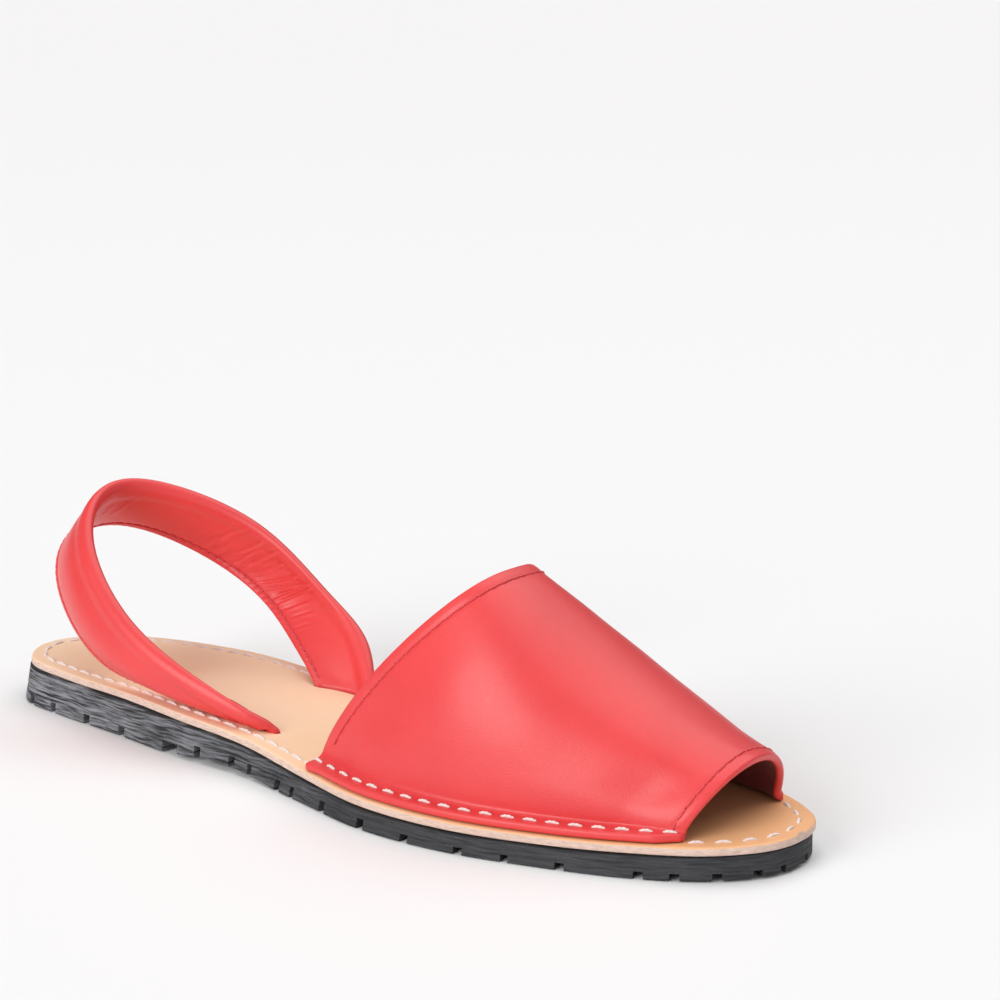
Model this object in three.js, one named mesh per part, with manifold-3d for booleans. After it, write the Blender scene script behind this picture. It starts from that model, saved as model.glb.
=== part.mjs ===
// Right-foot slip-on sandal: rubber outsole, leather insole, wrapped vamp and folded heel strap.
// Millimetres, +Z up, heel towards -X, toe towards +X, outer side of the foot towards -Y.
import * as THREE from "three";
import Module from "manifold-3d";

const wasm = await Module();
wasm.setup();
const { Manifold, Mesh } = wasm;

// Named sizes, in millimetres.
const FOOT_LENGTH = 250;
const BALL_HALF_WIDTH = 39;
const INSOLE_THICK = 2.1;
const OUTSOLE_HEEL = 10;
const OUTSOLE_FLARE = 1.4;
const HEEL_FLARE = 2.2;
const TOE_TUCK = 0.7;
const FIT_GAP = 0.3;
const UPPER_THICK = 2;
const VAMP_TOP = 62.2;
const FLANGE_WIDTH = 5.2;
const MOUTH_FLANGE = 0.6;
const MOUTH_CORNER = 1.8;
const FLANGE_INSET = 1.1;
const FOLD_RADIUS = 2.4;
const STRAP_TOP = 61;
const STRAP_THICK = 3;
const POCKET_DEPTH = 2.4;
const RIB_DEPTH = 0.5;
const LUG_DEPTH = 3;
const LUG_SLOT = 2.8;
const ARCH_RISE = 1.7;
const TOE_SPRING = 0.8;

const INSOLE_TOP_HEEL = OUTSOLE_HEEL + FIT_GAP + INSOLE_THICK;

// Small helpers.
function lerp(a, b, t) {
  return a + (b - a) * t;
}

function smooth(a, b, x) {
  const t = Math.min(1, Math.max(0, (x - a) / (b - a)));
  return t * t * (3 - 2 * t);
}

// Natural cubic spline through the columns of a table, row[0] being the parameter.
function splineTable(rows) {
  const n = rows.length;
  const x = rows.map((row) => row[0]);
  const columns = rows[0].slice(1).map((_, c) => {
    const y = rows.map((row) => row[c + 1]);
    const bend = new Array(n).fill(0);
    const u = new Array(n).fill(0);
    for (let i = 1; i < n - 1; i += 1) {
      const sig = (x[i] - x[i - 1]) / (x[i + 1] - x[i - 1]);
      const p = sig * bend[i - 1] + 2;
      const d = (y[i + 1] - y[i]) / (x[i + 1] - x[i]) - (y[i] - y[i - 1]) / (x[i] - x[i - 1]);
      bend[i] = (sig - 1) / p;
      u[i] = (6 * d / (x[i + 1] - x[i - 1]) - sig * u[i - 1]) / p;
    }
    for (let i = n - 2; i >= 0; i -= 1) {
      bend[i] = bend[i] * bend[i + 1] + u[i];
    }
    return { y, bend };
  });
  return (t) => {
    let k = 0;
    while (k < n - 2 && t > x[k + 1]) {
      k += 1;
    }
    const h = x[k + 1] - x[k];
    const a = (x[k + 1] - t) / h;
    const b = (t - x[k]) / h;
    return columns.map(({ y, bend }) => a * y[k] + b * y[k + 1]
      + ((a ** 3 - a) * bend[k] + (b ** 3 - b) * bend[k + 1]) * h * h / 6);
  };
}

// Sole outline: half widths as shares of the ball half width, one row per length share
const OUTLINE = {
  columns: ["lengthShare", "outerShare", "innerShare"],
  rows: [
    [0.03, 0.387, 0.344],
    [0.10, 0.505, 0.579],
    [0.20, 0.582, 0.687],
    [0.30, 0.674, 0.674],
    [0.40, 0.703, 0.628],
    [0.50, 0.849, 0.690],
    [0.60, 1.005, 0.856],
    [0.70, 1.005, 0.985],
    [0.80, 0.862, 0.933],
    [0.88, 0.692, 0.772],
    [0.95, 0.482, 0.544],
    [0.99, 0.215, 0.305],
  ],
};
const HEEL_TIP = -0.044;
const TOE_TIP = 0.040;

function outlineLoop() {
  const place = (share, y) => new THREE.Vector3((share - 0.5) * FOOT_LENGTH, y * BALL_HALF_WIDTH, 0);
  const points = [place(0, HEEL_TIP)];
  OUTLINE.rows.forEach(([share, outer]) => points.push(place(share, -outer)));
  points.push(place(1, TOE_TIP));
  [...OUTLINE.rows].reverse().forEach(([share, , inner]) => points.push(place(share, inner)));
  return new THREE.CatmullRomCurve3(points, true, "centripetal").getSpacedPoints(720).slice(0, -1);
}

const LOOP = outlineLoop();

// The outline grown outwards, cut into its two sides at the heel and toe tips.
function grownSides(grow) {
  const n = LOOP.length;
  const grown = LOOP.map((p, i) => {
    const run = LOOP[(i + 2) % n].clone().sub(LOOP[(i + n - 2) % n]).normalize();
    return new THREE.Vector2(p.x + run.y * grow, p.y - run.x * grow);
  });
  let toe = 0;
  grown.forEach((p, i) => {
    toe = p.x > grown[toe].x ? i : toe;
  });
  let heel = 0;
  grown.forEach((p, i) => {
    heel = p.x < grown[heel].x ? i : heel;
  });
  const walk = (from, to) => {
    const list = [];
    for (let i = from; i !== to; i = (i + 1) % n) {
      list.push(grown[i]);
    }
    list.push(grown[to]);
    return list;
  };
  return { outer: walk(heel, toe), inner: walk(toe, heel).reverse() };
}

const sideCache = new Map();

function sides(grow) {
  const key = grow.toFixed(4);
  if (!sideCache.has(key)) {
    sideCache.set(key, grownSides(grow));
  }
  return sideCache.get(key);
}

function sideAtX(side, x, grow) {
  const line = sides(grow)[side];
  let i = 1;
  while (i < line.length - 1 && line[i].x < x) {
    i += 1;
  }
  const t = Math.min(1, Math.max(0, (x - line[i - 1].x) / (line[i].x - line[i - 1].x || 1)));
  return lerp(line[i - 1].y, line[i].y, t);
}

function sidePoint(side, share, grow) {
  const line = sides(grow)[side];
  const first = line[0].x;
  const last = line[line.length - 1].x;
  const x = lerp(first, last, share);
  return new THREE.Vector2(x, sideAtX(side, x, grow));
}

// Height of the insole's top along the foot, as a share of its height at the heel.
const RISE = {
  columns: ["lengthShare", "topShare"],
  rows: [
    [-0.02, 1.030],
    [0.15, 1.004],
    [0.28, 0.978],
    [0.34, 0.905],
    [0.40, 0.812],
    [0.46, 0.716],
    [0.52, 0.640],
    [0.66, 0.586],
    [0.82, 0.598],
    [0.94, 0.683],
    [1.02, 0.760],
  ],
};
const riseAt = splineTable(RISE.rows);

function insoleTop(x) {
  return riseAt(x / FOOT_LENGTH + 0.5)[0] * INSOLE_TOP_HEEL;
}

function soleBottom(x) {
  const s = x / FOOT_LENGTH + 0.5;
  const arch = ARCH_RISE * smooth(0.27, 0.35, s) * (1 - smooth(0.36, 0.48, s));
  const toe = TOE_SPRING * Math.max(0, (s - 0.88) / 0.12) ** 2;
  return arch + toe;
}

// Mesh helpers.
function closedGrid(rings) {
  const n = rings[0].length;
  const position = rings.flat().flatMap((p) => [p.x, p.y, p.z]);
  const index = [];
  for (let r = 0; r < rings.length - 1; r += 1) {
    for (let i = 0; i < n; i += 1) {
      const a = r * n + i;
      const b = r * n + (i + 1) % n;
      index.push(a, b, a + n, b, b + n, a + n);
    }
  }
  return { position, index, n, last: (rings.length - 1) * n };
}

function toGeometry(position, index) {
  const geometry = new THREE.BufferGeometry();
  geometry.setAttribute("position", new THREE.Float32BufferAttribute(position, 3));
  geometry.setIndex(index);
  return geometry;
}

// A tube of rings whose two ends are zipped between facing ring points.
function zippedLoft(rings) {
  const { position, index, n, last } = closedGrid(rings);
  const half = n / 2;
  for (let i = 0; i < half - 1; i += 1) {
    const j = n - 1 - i;
    index.push(i, j, i + 1, i + 1, j, j - 1);
    index.push(last + i, last + i + 1, last + j, last + i + 1, last + j - 1, last + j);
  }
  return toGeometry(position, index);
}

function flipIfInside(geometry) {
  const p = geometry.attributes.position;
  const idx = geometry.index.array;
  const [a, b, c] = [new THREE.Vector3(), new THREE.Vector3(), new THREE.Vector3()];
  let volume = 0;
  for (let i = 0; i < idx.length; i += 3) {
    a.fromBufferAttribute(p, idx[i]);
    b.fromBufferAttribute(p, idx[i + 1]);
    c.fromBufferAttribute(p, idx[i + 2]);
    volume += a.dot(b.cross(c));
  }
  if (volume < 0) {
    for (let i = 0; i < idx.length; i += 3) {
      [idx[i], idx[i + 1]] = [idx[i + 1], idx[i]];
    }
  }
  return geometry;
}

function toSolid(geometry) {
  const g = flipIfInside(geometry);
  const mesh = new Mesh({
    numProp: 3,
    vertProperties: new Float32Array(g.attributes.position.array),
    triVerts: new Uint32Array(g.index.array),
  });
  mesh.merge();
  return new Manifold(mesh);
}

function fromSolid(solid) {
  const mesh = solid.getMesh();
  return toGeometry(Array.from(mesh.vertProperties), Array.from(mesh.triVerts));
}

// Plates that follow the outline.
const PLATE_STATIONS = 50;
const PLATE_LANES = 5;

// How far the foot of the rubber stands out from its top edge, by length share.
function flareAt(share) {
  const flare = lerp(HEEL_FLARE, OUTSOLE_FLARE, smooth(0, 0.15, share));
  return flare * (1 - smooth(0.86, 1, share));
}

// How far the rubber stands in from the insole's edge round the toe.
function tuckAt(share) {
  return TOE_TUCK * smooth(0.86, 1, share);
}

function stationShares() {
  return Array.from({ length: PLATE_STATIONS }, (_, i) => {
    const t = lerp(0.035, 0.965, i / (PLATE_STATIONS - 1));
    const round = 0.5 - 0.5 * Math.cos(Math.PI * t);
    return lerp(round, i / (PLATE_STATIONS - 1), 0.12);
  });
}

// Section rings across the foot: along the underside, up one flank, back over the top, down the other.
function plate(flank, heightAt, growAt) {
  const rings = stationShares().map((share) => {
    const ring = [];
    const edge = (side, row) => {
      const p = sidePoint(side, share, row.grow + growAt(share, row.flare));
      return new THREE.Vector3(p.x, p.y, heightAt(p.x, row.up));
    };
    const lane = (row, k) => {
      const a = edge("outer", row);
      const b = edge("inner", row);
      const p = a.lerp(b, k / PLATE_LANES);
      p.z = heightAt(p.x, row.up);
      return p;
    };
    const foot = flank[0];
    const head = flank[flank.length - 1];
    for (let k = 0; k <= PLATE_LANES; k += 1) {
      ring.push(lane(foot, k));
    }
    flank.slice(1, -1).forEach((row) => ring.push(edge("inner", row)));
    for (let k = PLATE_LANES; k >= 0; k -= 1) {
      ring.push(lane(head, k));
    }
    flank.slice(1, -1).reverse().forEach((row) => ring.push(edge("outer", row)));
    return ring;
  });
  return fanCapped(rings);
}

// Both ends of the tube closed by a strip between the underside and the top.
function fanCapped(rings) {
  const { position, index, last } = closedGrid(rings);
  const flat = rings[0].map((p) => new THREE.Vector2(p.y, p.z));
  const flatEnd = rings[rings.length - 1].map((p) => new THREE.Vector2(p.y, p.z));
  const near = THREE.ShapeUtils.triangulateShape(flat, []);
  const far = THREE.ShapeUtils.triangulateShape(flatEnd, []);
  const sign = (points) => Math.sign(THREE.ShapeUtils.area(points)) || 1;
  near.forEach(([a, b, c]) => {
    const turn = sign(flat) * sign([flat[a], flat[b], flat[c]]);
    index.push(...(turn > 0 ? [c, b, a] : [a, b, c]));
  });
  far.forEach(([a, b, c]) => {
    const turn = sign(flatEnd) * sign([flatEnd[a], flatEnd[b], flatEnd[c]]);
    index.push(...(turn > 0 ? [last + a, last + b, last + c] : [last + c, last + b, last + a]));
  });
  return toGeometry(position, index);
}

function box(cx, cy, cz, lx, ly, lz, turn) {
  const g = new THREE.BoxGeometry(lx, ly, lz);
  g.rotateZ(turn);
  g.translate(cx, cy, cz);
  const plain = toGeometry(Array.from(g.attributes.position.array), Array.from(g.index.array));
  return toSolid(plain);
}

// Heel strap: fold edge and stitched edge, one row per share of its path
// X as a share of the foot length, Y of the ball half width, rise above the insole of the strap top,
// and how far the band bows outwards between the edges, in strap thicknesses.
const STRAP = {
  columns: ["path", "foldX", "foldY", "foldRise", "edgeX", "edgeY", "edgeRise", "bow"],
  rows: [
    [0.000, -0.0835, -0.472, 0.008, -0.1505, -0.330, 0.008, 0.38],
    [0.060, -0.1088, -0.594, 0.064, -0.1913, -0.406, 0.066, 0.59],
    [0.125, -0.1572, -0.652, 0.165, -0.2381, -0.474, 0.056, 0.80],
    [0.250, -0.2720, -0.617, 0.418, -0.3319, -0.517, 0.111, 0.88],
    [0.375, -0.3695, -0.365, 0.768, -0.4207, -0.363, 0.404, 0.59],
    [0.500, -0.4041, 0.038, 0.992, -0.4629, -0.023, 0.644, -0.29],
    [0.625, -0.3687, 0.442, 0.963, -0.4382, 0.389, 0.688, -0.36],
    [0.750, -0.2798, 0.743, 0.746, -0.3572, 0.688, 0.516, 0.30],
    [0.875, -0.1774, 0.767, 0.426, -0.2593, 0.698, 0.275, 0.72],
    [0.940, -0.1170, 0.698, 0.245, -0.2065, 0.573, 0.132, 0.20],
    [1.000, -0.0785, 0.482, 0.008, -0.1546, 0.420, 0.008, 0.77],
  ],
};
// Half thickness across the band, from the padded fold to the stitched edge, in strap thicknesses.
const BAND = {
  columns: ["widthShare", "outerHalf", "innerHalf"],
  rows: [
    [0.000, 0.20, 0.20],
    [0.030, 0.42, 0.42],
    [0.090, 0.58, 0.60],
    [0.180, 0.60, 0.66],
    [0.290, 0.49, 0.46],
    [0.420, 0.48, 0.50],
    [0.660, 0.46, 0.50],
    [0.850, 0.40, 0.42],
    [0.900, 0.34, 0.34],
    [1.000, 0.34, 0.34],
  ],
};
const STRAP_SPAN = STRAP_TOP - INSOLE_TOP_HEEL;
const strapAt = splineTable(STRAP.rows);
const STRAP_STATIONS = 48;
// The band turns upright over this share of its path, and thins over that share, at each slot.
const UPRIGHT_SHARE = 0.05;
const THIN_SHARE = 0.1;
const END_THICKNESS = 0.55;

function strapEdges(t) {
  const [fx, fy, fz, ex, ey, ez, bow] = strapAt(t);
  const rise = (x, z) => insoleTop(x) + FIT_GAP + z * STRAP_SPAN;
  const fold = new THREE.Vector3(fx * FOOT_LENGTH, fy * BALL_HALF_WIDTH, 0);
  const edge = new THREE.Vector3(ex * FOOT_LENGTH, ey * BALL_HALF_WIDTH, 0);
  fold.z = rise(fold.x, fz);
  edge.z = rise(edge.x, ez);
  return { fold, edge, bow: bow * STRAP_THICK };
}

// One closed ring of the band, optionally grown to give the clearance of its slot.
function strapRing(t, grow, drop) {
  const { fold, edge, bow } = strapEdges(t);
  const step = 0.004;
  const ahead = strapEdges(Math.min(1, t + step));
  const behind = strapEdges(Math.max(0, t - step));
  const middle = (s) => s.fold.clone().add(s.edge);
  const run = middle(ahead).sub(middle(behind)).normalize();
  const fromEnd = Math.min(t, 1 - t);
  const upright = 1 - smooth(0, UPRIGHT_SHARE, fromEnd);
  const down = new THREE.Vector3(0, 0, t < 0.5 ? 1 : -1);
  run.lerp(down, upright).normalize();
  const across = edge.clone().sub(fold);
  const width = across.length();
  across.normalize();
  const out = run.clone().cross(across).normalize();
  const squeeze = lerp(END_THICKNESS, 1, smooth(0, THIN_SHARE, fromEnd));
  const place = (row, face) => {
    const along = lerp(-grow, width + grow, row[0]);
    const share = along / width;
    const arch = bow * 4 * share * (1 - share);
    const half = (face > 0 ? row[1] : row[2]) * STRAP_THICK * squeeze + grow;
    const p = fold.clone().addScaledVector(across, along).addScaledVector(out, arch + face * half);
    if (fromEnd === 0) {
      p.z = insoleTop(p.x) + FIT_GAP;
    }
    p.z -= drop;
    return p;
  };
  const outer = BAND.rows.map((row) => place(row, 1));
  const inner = [...BAND.rows].reverse().map((row) => place(row, -1));
  return [...outer, ...inner];
}

function slotDepth() {
  return INSOLE_THICK + 2 * FIT_GAP + POCKET_DEPTH;
}

function strapLoft() {
  const rings = [strapRing(0, 0, slotDepth())];
  for (let i = 0; i <= STRAP_STATIONS; i += 1) {
    rings.push(strapRing(i / STRAP_STATIONS, 0, 0));
  }
  rings.push(strapRing(1, 0, slotDepth()));
  return zippedLoft(rings);
}

function slotTool(t) {
  return toSolid(zippedLoft([
    strapRing(t, FIT_GAP, slotDepth() + FIT_GAP),
    strapRing(t, FIT_GAP, -3),
  ]));
}

const slots = [slotTool(0), slotTool(1)];

// Insole.
function insoleSolid() {
  const flank = [
    { grow: -0.3, flare: 0, up: 0 },
    { grow: 0, flare: 0, up: 0.2 },
    { grow: 0, flare: 0, up: 0.8 },
    { grow: -0.35, flare: 0, up: 1 },
  ];
  const heightAt = (x, up) => insoleTop(x) - INSOLE_THICK * (1 - up);
  const body = toSolid(plate(flank, heightAt, () => 0));
  return slots.reduce((solid, tool) => solid.subtract(tool), body);
}

// Outsole.
// Tread slots that open on each edge: where, by length share, and how wide in slot widths.
const TREAD = {
  columns: ["lengthShare", "widthShare"],
  outer: [
    [0.018, 0.8], [0.051, 1], [0.091, 1], [0.151, 1.1], [0.211, 1.2], [0.295, 2.6],
    [0.337, 1], [0.387, 1], [0.415, 0.8], [0.463, 1], [0.488, 0.7], [0.540, 1],
    [0.601, 1], [0.658, 1], [0.719, 1], [0.766, 0.8], [0.819, 1], [0.890, 1],
    [0.922, 1], [0.957, 1], [0.985, 1],
  ],
  inner: [
    [0.060, 1], [0.120, 1], [0.180, 1.1], [0.240, 1], [0.300, 1.6], [0.360, 1],
    [0.420, 1], [0.480, 1], [0.540, 1], [0.600, 1], [0.660, 1], [0.720, 1],
    [0.780, 1], [0.840, 1], [0.895, 1], [0.935, 1], [0.965, 1],
  ],
  // Round the toe tip the place is a share of the ball half width.
  tip: [[-0.105, 0.7], [0.135, 0.7]],
};
const SLOT_REACH = 0.55;

function outsoleSolid() {
  const flank = [
    { grow: -0.8, flare: 1, up: 0 },
    { grow: 0, flare: 1, up: 0.10 },
    { grow: 0, flare: 0.90, up: 0.30 },
    { grow: -RIB_DEPTH, flare: 0.85, up: 0.36 },
    { grow: 0, flare: 0.75, up: 0.42 },
    { grow: 0, flare: 0.60, up: 0.60 },
    { grow: -RIB_DEPTH, flare: 0.50, up: 0.66 },
    { grow: 0, flare: 0.40, up: 0.72 },
    { grow: 0, flare: 0.15, up: 0.94 },
    { grow: -0.3, flare: 0, up: 1 },
  ];
  const heightAt = (x, up) => {
    const top = insoleTop(x) - INSOLE_THICK - FIT_GAP;
    return lerp(soleBottom(x), top, up);
  };
  let body = toSolid(plate(flank, heightAt, (share, flare) => flare * flareAt(share) - tuckAt(share)));
  const cut = (place, width) => {
    const [p, run] = place;
    const inward = new THREE.Vector2(-run.y, run.x).normalize();
    const reach = Math.max(SLOT_REACH * Math.abs(p.y), LUG_DEPTH * 2);
    const mid = p.clone().addScaledVector(inward, reach / 2 - 2);
    const z = soleBottom(p.x) + LUG_DEPTH / 2 - 1;
    const turn = Math.atan2(inward.y, inward.x);
    body = body.subtract(box(mid.x, mid.y, z, reach + 4, LUG_SLOT * width, LUG_DEPTH + 2, turn));
  };
  // A place is a point of the rubber's foot and the way the outline runs there, anticlockwise.
  const onSide = (side, share) => {
    const at = (k) => sidePoint(side, k, flareAt(share) - tuckAt(share));
    const run = at(Math.min(1, share + 0.004)).sub(at(Math.max(0, share - 0.004)));
    return [at(share), run.multiplyScalar(side === "outer" ? 1 : -1)];
  };
  const onTip = (widthShare) => {
    const { outer, inner } = sides(-tuckAt(1));
    const line = [...outer, ...[...inner].reverse()].filter((p) => p.x > 0);
    const k = line.findIndex((p) => p.y > widthShare * BALL_HALF_WIDTH);
    return [line[k].clone(), line[k + 2].clone().sub(line[k - 2])];
  };
  TREAD.outer.forEach(([share, width]) => cut(onSide("outer", share), width));
  TREAD.inner.forEach(([share, width]) => cut(onSide("inner", share), width));
  TREAD.tip.forEach(([share, width]) => cut(onTip(share), width));
  return slots.reduce((solid, tool) => solid.subtract(tool), body);
}

// Vamp: arched leather wall with a flat flange, one row per share from topline to mouth
// Base and crest X are shares of the foot length; power 2 is an ellipse, higher is boxier.
const VAMP = {
  columns: ["run", "outerBaseX", "innerBaseX", "crestX", "crestHeight", "outerPower", "innerPower"],
  rows: [
    [0.00, 0.006, -0.005, 0.177, 0.984, 2.99, 2.99],
    [0.20, 0.088, 0.084, 0.229, 0.858, 2.66, 2.68],
    [0.40, 0.172, 0.173, 0.281, 0.716, 2.36, 2.40],
    [0.60, 0.256, 0.262, 0.334, 0.584, 2.12, 2.24],
    [0.80, 0.341, 0.350, 0.391, 0.477, 1.94, 2.20],
    [1.00, 0.423, 0.435, 0.450, 0.407, 1.67, 2.10],
  ],
};
const vampAt = splineTable(VAMP.rows);
const VAMP_ROWS = 22;
const ARCH_STEPS = 24;
const TOPLINE_SWEEP = 1.32;
const WALL_START = 0.05;

function vampSection(u) {
  const [outerX, innerX, crestX, crest, outerPower, innerPower] = vampAt(u);
  const crestZ = crest * VAMP_TOP;
  const sweep = lerp(TOPLINE_SWEEP, 1, u);
  const base = (side) => {
    const x = (side === "outer" ? outerX : innerX) * FOOT_LENGTH;
    const sign = side === "outer" ? -1 : 1;
    const inset = FLANGE_INSET * (0.3 + 0.7 * smooth(0, 0.06, u)) + MOUTH_CORNER * smooth(0.94, 1, u);
    const rim = sideAtX(side, x, -inset);
    const width = FLANGE_WIDTH * lerp(1, MOUTH_FLANGE, smooth(0.82, 1, u));
    const foot = sideAtX(side, x, -(FLANGE_INSET + width));
    const turn = Math.min(FOLD_RADIUS, 0.7 * Math.abs(rim - foot));
    const z = insoleTop(x) + FIT_GAP + UPPER_THICK;
    const power = side === "outer" ? outerPower : innerPower;
    return { x, sign, rim, foot, turn, z, power, lowest: Math.asin(WALL_START ** (power / 2)) };
  };
  const outer = base("outer");
  const inner = base("inner");
  const centre = (outer.foot + inner.foot) / 2;
  const points = [];
  const wall = (s, angle) => {
    const up = Math.sin(angle) ** (2 / s.power);
    const aside = Math.cos(angle) ** (2 / s.power);
    return new THREE.Vector3(
      lerp(s.x, crestX * FOOT_LENGTH, up ** sweep),
      lerp(centre, s.foot, aside),
      lerp(s.z, crestZ, up),
    );
  };
  const flange = (s) => {
    const list = [];
    [0, 0.5, 1].forEach((k) => {
      const y = lerp(s.rim, s.foot + s.sign * s.turn, k);
      list.push(new THREE.Vector3(s.x, y, s.z));
    });
    return list;
  };
  const side = (s) => {
    const list = flange(s);
    const first = wall(s, s.lowest);
    const corner = new THREE.Vector3(s.x, s.foot, s.z);
    [0.35, 0.65].forEach((k) => {
      const a = list[2].clone().lerp(corner, k);
      const b = corner.clone().lerp(first, k);
      list.push(a.lerp(b, k));
    });
    for (let i = 0; i <= ARCH_STEPS / 2; i += 1) {
      const angle = lerp(s.lowest, Math.PI / 2, i / (ARCH_STEPS / 2));
      list.push(wall(s, angle));
    }
    return list;
  };
  const left = side(outer);
  const right = side(inner).slice(0, -1).reverse();
  points.push(...left, ...right);
  return points;
}

function vampGeometry() {
  const rows = Array.from({ length: VAMP_ROWS + 1 }, (_, i) => vampSection(i / VAMP_ROWS));
  const columns = rows[0].length;
  const normalAt = (r, c) => {
    const along = rows[Math.min(r + 1, VAMP_ROWS)][c].clone().sub(rows[Math.max(r - 1, 0)][c]);
    const around = rows[r][Math.min(c + 1, columns - 1)].clone().sub(rows[r][Math.max(c - 1, 0)]);
    return around.cross(along).normalize();
  };
  const rings = rows.map((row, r) => {
    const inside = row.map((p, c) => {
      const n = normalAt(r, c);
      const flat = c < 2 || c > columns - 3;
      const away = flat ? new THREE.Vector3(0, 0, n.z < 0 ? -1 : 1) : n;
      const sign = away.z < 0 ? 1 : -1;
      return p.clone().addScaledVector(away, sign * UPPER_THICK);
    });
    return [...row, ...inside.reverse()];
  });
  return zippedLoft(rings);
}

// Assembly.
const group = new THREE.Group();
group.name = "sandal";

function add(name, geometry, colour, roughness) {
  const material = new THREE.MeshStandardMaterial({ color: colour, roughness, metalness: 0 });
  const g = flipIfInside(geometry);
  g.computeVertexNormals();
  const mesh = new THREE.Mesh(g, material);
  mesh.name = name;
  group.add(mesh);
}

add("outsole", fromSolid(outsoleSolid()), 0x34353a, 0.8);
add("insole", fromSolid(insoleSolid()), 0xe9b98a, 0.6);
add("vamp", vampGeometry(), 0xe5484a, 0.45);
add("heel_strap", strapLoft(), 0xdd4043, 0.45);

export default group;
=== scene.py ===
"""Slip-on sandal for the right foot: rubber outsole, leather insole, sewn vamp, folded strap.

Metres, +Z up, heel towards -X, toe towards +X, outer side of the foot towards -Y.
"""

import math

import bpy
import numpy as np
from bpy.props import FloatProperty, FloatVectorProperty, IntProperty, PointerProperty
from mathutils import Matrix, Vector, noise


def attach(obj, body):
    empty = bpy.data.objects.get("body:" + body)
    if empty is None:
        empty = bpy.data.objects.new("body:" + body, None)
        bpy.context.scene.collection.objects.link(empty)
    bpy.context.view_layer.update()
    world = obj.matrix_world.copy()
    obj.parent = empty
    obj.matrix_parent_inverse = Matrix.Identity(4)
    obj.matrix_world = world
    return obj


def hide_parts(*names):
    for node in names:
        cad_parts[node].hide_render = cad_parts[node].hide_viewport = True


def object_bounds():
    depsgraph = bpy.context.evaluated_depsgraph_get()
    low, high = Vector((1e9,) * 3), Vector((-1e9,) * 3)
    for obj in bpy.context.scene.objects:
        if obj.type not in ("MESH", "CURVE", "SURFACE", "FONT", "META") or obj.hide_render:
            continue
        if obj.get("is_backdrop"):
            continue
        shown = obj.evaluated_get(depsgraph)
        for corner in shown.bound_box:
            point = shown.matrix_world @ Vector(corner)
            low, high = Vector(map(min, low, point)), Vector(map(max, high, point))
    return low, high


bl_info = {
    "name": "Slip-on Sandal",
    "version": (1, 0, 0),
    "blender": (4, 5, 0),
    "location": "3D View > Sidebar > Sandal",
    "description": "Builds a leather slip-on sandal over its solid model",
    "category": "Object",
}

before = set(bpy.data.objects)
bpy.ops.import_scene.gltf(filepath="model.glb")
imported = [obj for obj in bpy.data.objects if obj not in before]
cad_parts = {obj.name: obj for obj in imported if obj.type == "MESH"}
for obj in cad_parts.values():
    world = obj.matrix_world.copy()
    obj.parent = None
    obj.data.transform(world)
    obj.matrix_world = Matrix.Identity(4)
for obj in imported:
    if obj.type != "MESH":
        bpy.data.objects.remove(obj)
SOLID_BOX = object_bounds()
MM = 0.001


def linear(hex_colour):
    """sRGB hex to the linear colour that the shaders take."""
    parts = [int(hex_colour[i:i + 2], 16) / 255 for i in (1, 3, 5)]
    return tuple(c / 12.92 if c <= 0.04045 else ((c + 0.055) / 1.055) ** 2.4 for c in parts)


# Sizes and colours.

def length(name, description, millimetres):
    return FloatProperty(name=name, description=description, default=millimetres * MM,
                         min=0.0, unit="LENGTH", precision=5)


def colour(name, description, hex_colour):
    return FloatVectorProperty(name=name, description=description, default=linear(hex_colour),
                               size=3, min=0.0, max=1.0, subtype="COLOR")


class SandalSizes(bpy.types.PropertyGroup):
    foot_length: length("Insole length", "Heel to toe along the insole", 250)
    ball_half: length("Ball half width", "Half the insole's width at the ball of the foot", 39)
    insole_thick: length("Insole thickness", "Thickness of the insole leather", 2.1)
    heel_height: length("Sole height at the heel", "Rubber under the heel", 10)
    upper_thick: length("Upper thickness", "Thickness of the vamp leather", 2)
    vamp_top: length("Vamp height", "Ground to the top of the vamp", 62.2)
    strap_top: length("Strap height", "Ground to the top of the heel strap", 61)
    strap_thick: length("Strap thickness", "Thickness of the folded strap", 3)
    fit_gap: length("Fit gap", "Clearance between pieces that touch", 0.3)
    welt_pitch: length("Sole stitch pitch", "Distance between the white stitches", 5.5)
    welt_stitch: length("Sole stitch length", "Visible length of a white stitch", 4.5)
    welt_thread: length("Sole thread thickness", "Thickness of the white thread", 0.9)
    welt_inset: length("Sole stitch inset", "Insole edge to the white stitches", 3.9)
    top_pitch: length("Topstitch pitch", "Distance between the red stitches on the vamp", 3.4)
    top_inset: length("Topstitch inset", "Vamp edge to the red stitches", 2.8)
    strap_pitch: length("Strap stitch pitch", "Distance between the strap's red stitches", 2.6)
    strap_inset: length("Strap stitch inset", "Strap edge to the red stitches", 2.4)
    top_thread: length("Topstitch thread thickness", "Thickness of the red thread", 0.6)
    bark_depth: length("Side groove depth", "Depth of the moulded grooves on the rubber", 0.36)
    bark_pitch: length("Side groove pitch", "Distance between the moulded grooves", 1.0)
    lug_depth: length("Tread slot height", "Height of the slots on the sole's edge", 3)
    lug_slot: length("Tread slot width", "Width of a plain tread slot", 2.8)
    seed: IntProperty(name="Seed", description="Seed of the small irregularities", default=7)


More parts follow.
